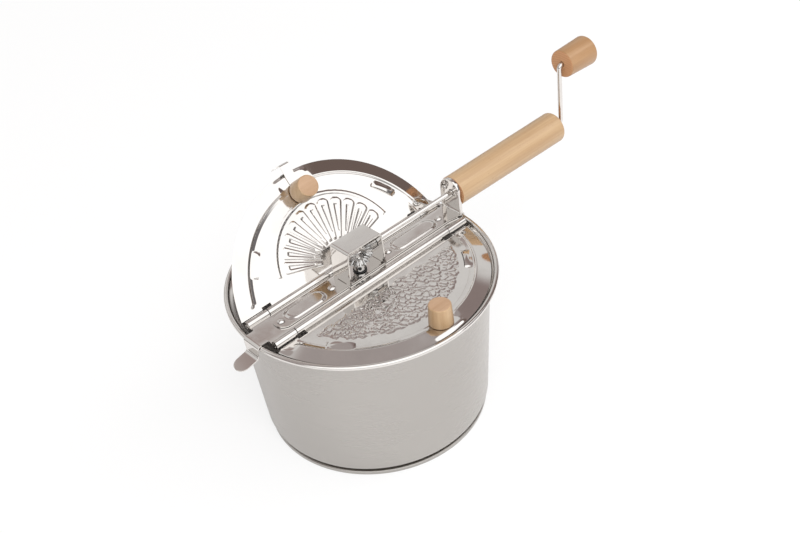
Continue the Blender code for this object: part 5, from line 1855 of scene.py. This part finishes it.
        def is_rolled(edge: bpy.types.MeshEdge) -> bool:
            """Tells whether an edge is rolled into the barrel."""
            ends = [lid.data.vertices[index] for index in edge.vertices]
            return all(on_chord(end) and abs(end.co.x) < PLAN.barrel_half + 0.1 * MM for end in ends)

        row = [vertex for vertex in lid.data.vertices if on_chord(vertex)]
        last = -PLAN.lid_radius
        for vertex in sorted(row, key=lambda vertex: vertex.co.x):
            if abs(vertex.co.x) < self.notch_in - 2 * MM:
                last = last if vertex.co.x - last < self.merge else vertex.co.x
                vertex.co.x = last
        Bench.pick(lid, "VERT", on_chord)
        bpy.ops.mesh.remove_doubles(threshold=1e-6)
        Bench.pick(lid, "EDGE", is_rolled)
        route = [(0.0, self.chord, self.level), (0.0, self.roll_start, self.level)]
        route += [(0.0, y, z) for y, z in arc((0, 0), -self.level, -90, self.roll_end, 36)]
        Bench.extrude_along(route)
        Bench.leave()
        Bench.edit(lid)
        bpy.ops.mesh.normals_make_consistent(inside=False)
        bpy.ops.object.mode_set(mode="OBJECT")

    @property
    def knob_place(self) -> Point:
        """Foot of the knob, from the hinge axis."""
        top = self.level + PLAN.lid_sheet / 2
        return 0.0, PLAN.hinge_y - self.knob_reach, top + PLAN.seat_gap + self.knob_lift

    def _knob(self) -> None:
        """The wooden knob, slightly waisted towards its top."""
        high, top, foot = self.knob_height, self.knob_top, self.knob_foot
        edge = 1.1 * MM
        outline = [(0, high), (4 * MM, high), (top - edge, high)]
        outline += arc((top - edge, high - edge), edge, 90, 0, 6)[1:]
        outline += [(top + (foot - top) * 0.5, high * 0.5)]
        outline += arc((foot - edge * 0.8, edge * 0.8), edge * 0.8, 0, -90, 5)
        outline += profile([(2.3, 0), (2.3, 12.4), (0, 12.4)])
        knob = Bench.lathe(f"lid_knob_wood_{self.name}", outline, 80, self.knob_place, (0, 0, 1))
        Bench.smooth(knob, 35)
        shift = tuple(0.11 * (index + 1) + 0.07 * len(self.name) for index in range(3))
        side = TurnedWood(name=f"beech_wood_lid_{self.name}", axis=2, shift=shift)
        light, dark = (0.46, 0.30, 0.19), (0.37, 0.225, 0.125)
        end = TurnedWood(name=f"beech_top_lid_{self.name}", axis=0, shift=shift, light=light, dark=dark)
        paint_ends(knob, side, end, Vector((0, 0, 1)))
        self._hand_over(knob, Slot.WOOD, None, [f"lid_knob_{self.name}"])

    def _screw(self) -> None:
        """The knob's screw from below, with a slotted round head."""
        x, y, foot = self.knob_place
        under = self.level - PLAN.lid_sheet / 2 - PLAN.seat_gap
        outline = profile([(0, 12.0), (0.8, 12.0), (2.0, 10.0)], foot)
        outline += profile([(2.0, 0), (4.0, 0), (3.8, -1.0), (3.0, -1.9), (1.5, -2.35), (0, -2.4)], under)
        screw = Bench.lathe(f"lid_screw_{self.name}", outline, 32, (x, y, 0), (0, 0, 1))
        low = (x - 5 * MM, y - 0.45 * MM, under - 3 * MM)
        Bench.cut(screw, Bench.block(low, (x + 5 * MM, y + 0.45 * MM, under - 1.4 * MM)))
        Bench.smooth(screw, 35)
        self._hand_over(screw, Slot.POLISHED, STEEL, [f"lid_knob_screw_{self.name}"])


@dataclass
class Catch(Assembly):
    """Sprung catch under the rear knob, with a wide foot that lies outside the pot's lip when shut."""

    turn: Matrix
    sheet: float = 0.8 * MM
    half: float = 5.0 * MM
    foot_half: float = 9.5 * MM
    foot: float = 5.5 * MM
    leg: float = 9.5 * MM
    bend: float = 2.4 * MM
    clear: float = 0.4 * MM
    tail: tuple[float, ...] = (86.2 * MM, 104.0 * MM, 113.2 * MM)

    def build(self) -> None:
        """Builds and delivers the catch."""
        top = PLAN.seat_gap + PLAN.lid_sheet - PLAN.hinge_roll + self.sheet / 2
        over = PLAN.pot_height - PLAN.hinge_z + self.clear + self.sheet / 2
        lip_r, _ = PLAN.lip_centre
        out = PLAN.rim_radius + self.clear + self.sheet / 2
        line = [(radius, top) for radius in self.tail] + [(lip_r - PLAN.lip_radius * 0.4, over)]
        line += arc((out - self.bend, over - self.bend), self.bend, 90, 0, 8)
        narrow = len(line) + 1
        low = over - self.leg
        line += [(out, low + self.foot + 0.02 * MM), (out, low + self.foot), (out, low)]
        halves = [self.half] * narrow + [self.foot_half] * 2
        route = [(0.0, PLAN.hinge_y - radius, height) for radius, height in line]
        catch = Bench.sheet("lid_catch_spring", route, halves, across=(1, 0, 0))
        Bench.thicken(catch, self.sheet, 0.15 * MM)
        Bench.smooth(catch, 38, weighted=True)
        Bench.settle(catch, self.turn)
        self.deliver(catch, Body.REAR_LID, Slot.POLISHED, STEEL, ["lid_catch"])


# Studio


@dataclass
class Studio:
    """White floor, soft lamps, pale surroundings and the camera."""

    eye: Point = (-0.4691, -0.6290, 0.7662)
    look: Point = (0.4988, 0.6088, -0.6169)
    up: Point = (0.4811, 0.3976, 0.7814)
    lens: float = 50.0
    white: Colour = (1.0, 1.0, 1.0)
    floor_paint: Colour = (0.88, 0.88, 0.88)
    floor_glow: float = 0.75
    ceiling: Colour = (0.78, 0.77, 0.76)
    window: Colour = (1.5, 1.5, 1.5)
    beams: Colour = (0.385, 0.31, 0.29)
    dusk: Colour = (0.20, 0.19, 0.195)
    mauves: tuple[Colour, ...] = ((0.44, 0.395, 0.385), (0.31, 0.25, 0.24), (0.184, 0.137, 0.122))
    horizon: Colour = (0.10, 0.09, 0.085)

    def build(self) -> None:
        """Sets the whole studio."""
        self._camera()
        self._floor()
        self._world()
        self._lamp("key_lamp", (-0.7, -1.5, 1.9), 1.3, 24.0)
        self._lamp("fill_lamp", (1.6, -0.6, 1.5), 1.2, 9.0)
        bpy.context.scene.view_settings.view_transform = "Standard"

    def _camera(self) -> None:
        """The camera at the photograph's place."""
        data = bpy.data.cameras.new("photo_camera")
        data.lens = self.lens
        data.sensor_width = 36.0
        data.sensor_fit = "HORIZONTAL"
        data.clip_start = 0.01
        camera = bpy.data.objects.new("photo_camera", data)
        back = -Vector(self.look).normalized()
        side = Vector(self.up).cross(back).normalized()
        high = back.cross(side)
        turn = Matrix((side, high, back)).transposed().to_4x4()
        camera.matrix_world = Matrix.Translation(self.eye) @ turn
        bpy.context.scene.collection.objects.link(camera)
        bpy.context.scene.camera = camera

    def _floor(self) -> None:
        """A wide white floor that keeps the object's shadow."""
        Bench.rest()
        bpy.ops.mesh.primitive_circle_add(vertices=96, radius=6.0, fill_type="NGON", location=(0, 0, -0.0001))
        floor = bpy.context.object
        floor.name = "studio_floor"
        shader, material = Shader.material("studio_white")
        seen = shader.add("ShaderNodeLightPath").outputs["Is Camera Ray"]
        paint = shader.add("ShaderNodeBsdfDiffuse", {"Color": self.floor_paint})
        glow = shader.add("ShaderNodeEmission", {"Color": self.white, "Strength": 1.0})
        share = Value(shader, seen) * self.floor_glow
        mixed = shader.add("ShaderNodeMixShader", {0: share, 1: paint.outputs[0], 2: glow.outputs[0]})
        shader.add("ShaderNodeOutputMaterial", {0: mixed.outputs[0]})
        floor.data.materials.append(material)

    def _world(self) -> None:
        """Surroundings: white to the camera; to the metal, a bright window, dim beams and a dark horizon."""
        world = bpy.data.worlds.new("studio_air")
        bpy.context.scene.world = world
        world.use_nodes = True
        shader = Shader(world.node_tree)
        direction = shader.add("ShaderNodeTexCoord").outputs["Generated"]
        x, y, z = shader.split(direction)
        tone = shader.blend(y.ease(0.01, -0.05), self.ceiling, self.window)
        streaks = shader.noise(shader.join(x * 4.0, y * 90.0, z * 4.0), 1.0, 1.0).ease(0.40, 0.60)
        across = y + x * 0.384
        beam = across.ease(0.796, 0.803) * across.ease(0.817, 0.812) * (streaks * 0.35 + 0.65)
        strip = across.ease(0.8270, 0.8285) * across.ease(0.8330, 0.8315) * 0.4
        glance = (x * 0.205 + y * 0.609 + z * 0.766).ease(0.975, 0.99)
        back = (beam + strip) * z.ease(0.3, 0.4)
        tone = shader.blend(back.call("MAXIMUM", glance), tone, self.beams)
        sash = y.ease(-0.05, 0.01) * y.ease(0.52, 0.42) * x.ease(0.82, 0.76)
        side = x.ease(0.50, 0.56) * y.ease(-0.35, -0.25) * y.ease(0.24, 0.17)
        dusk = x.ease(0.52, 0.58) * y.ease(-0.28, -0.36) * z.ease(0.52, 0.44)
        tone = shader.blend(dusk, tone, self.dusk)
        pale, middle, deep = self.mauves
        mauve = shader.blend(x.ease(0.35, 0.65), pale, middle)
        mauve = shader.blend(x.ease(0.50, 0.60) * y.ease(0.05, -0.02), mauve, deep)
        tone = shader.blend(sash.call("MAXIMUM", side), tone, mauve)
        tone = shader.blend(z.ease(0.30, 0.08) * 0.75, tone, self.horizon)
        path = shader.add("ShaderNodeLightPath").outputs["Is Camera Ray"]
        air = shader.add("ShaderNodeBackground", {"Color": tone, "Strength": 1.0})
        white = shader.add("ShaderNodeBackground", {"Color": self.white, "Strength": 1.0})
        mixed = shader.add("ShaderNodeMixShader", {0: path, 1: air.outputs[0], 2: white.outputs[0]})
        shader.add("ShaderNodeOutputWorld", {0: mixed.outputs[0]})

    @staticmethod
    def _lamp(name: str, at: Point, size: float, power: float) -> None:
        """One soft lamp that looks at the pot.

        Args:
            name: the lamp's name.
            at: its place.
            size: the disk's diameter.
            power: its strength in watts.
        """
        data = bpy.data.lights.new(name, "AREA")
        data.shape = "DISK"
        data.size = size
        data.energy = power
        lamp = bpy.data.objects.new(name, data)
        lamp.location = at
        lamp.visible_glossy = False
        lamp.rotation_euler = (Vector((0, 0, 0.1)) - Vector(at)).to_track_quat("-Z", "Y").to_euler()
        bpy.context.scene.collection.objects.link(lamp)


def main() -> None:
    """Builds the popper piece by piece, then the studio."""
    logging.basicConfig(level=logging.INFO, format="%(message)s")
    Pot().build()
    Bridge().build()
    Strap().build()
    GearCage().build()
    Handle().build()
    Crank().build()
    Stirrer().build()
    front = Matrix.Translation((0, -PLAN.hinge_y, PLAN.hinge_z))
    lean = Matrix.Rotation(math.radians(PLAN.rear_lid_angle), 4, "X")
    rear = Matrix.Translation((0, PLAN.hinge_y, PLAN.hinge_z)) @ lean @ Matrix.Rotation(math.pi, 4, "Z")
    HalfLid("front", Body.FRONT_LID, Pebbles(), front, 102.0 * MM).build()
    HalfLid("rear", Body.REAR_LID, Fan(), rear, 95.2 * MM, knob_lift=1.1 * MM).build()
    Catch(rear).build()
    Studio().build()


if __name__ == "__main__":
    main()
    Bench.rest()
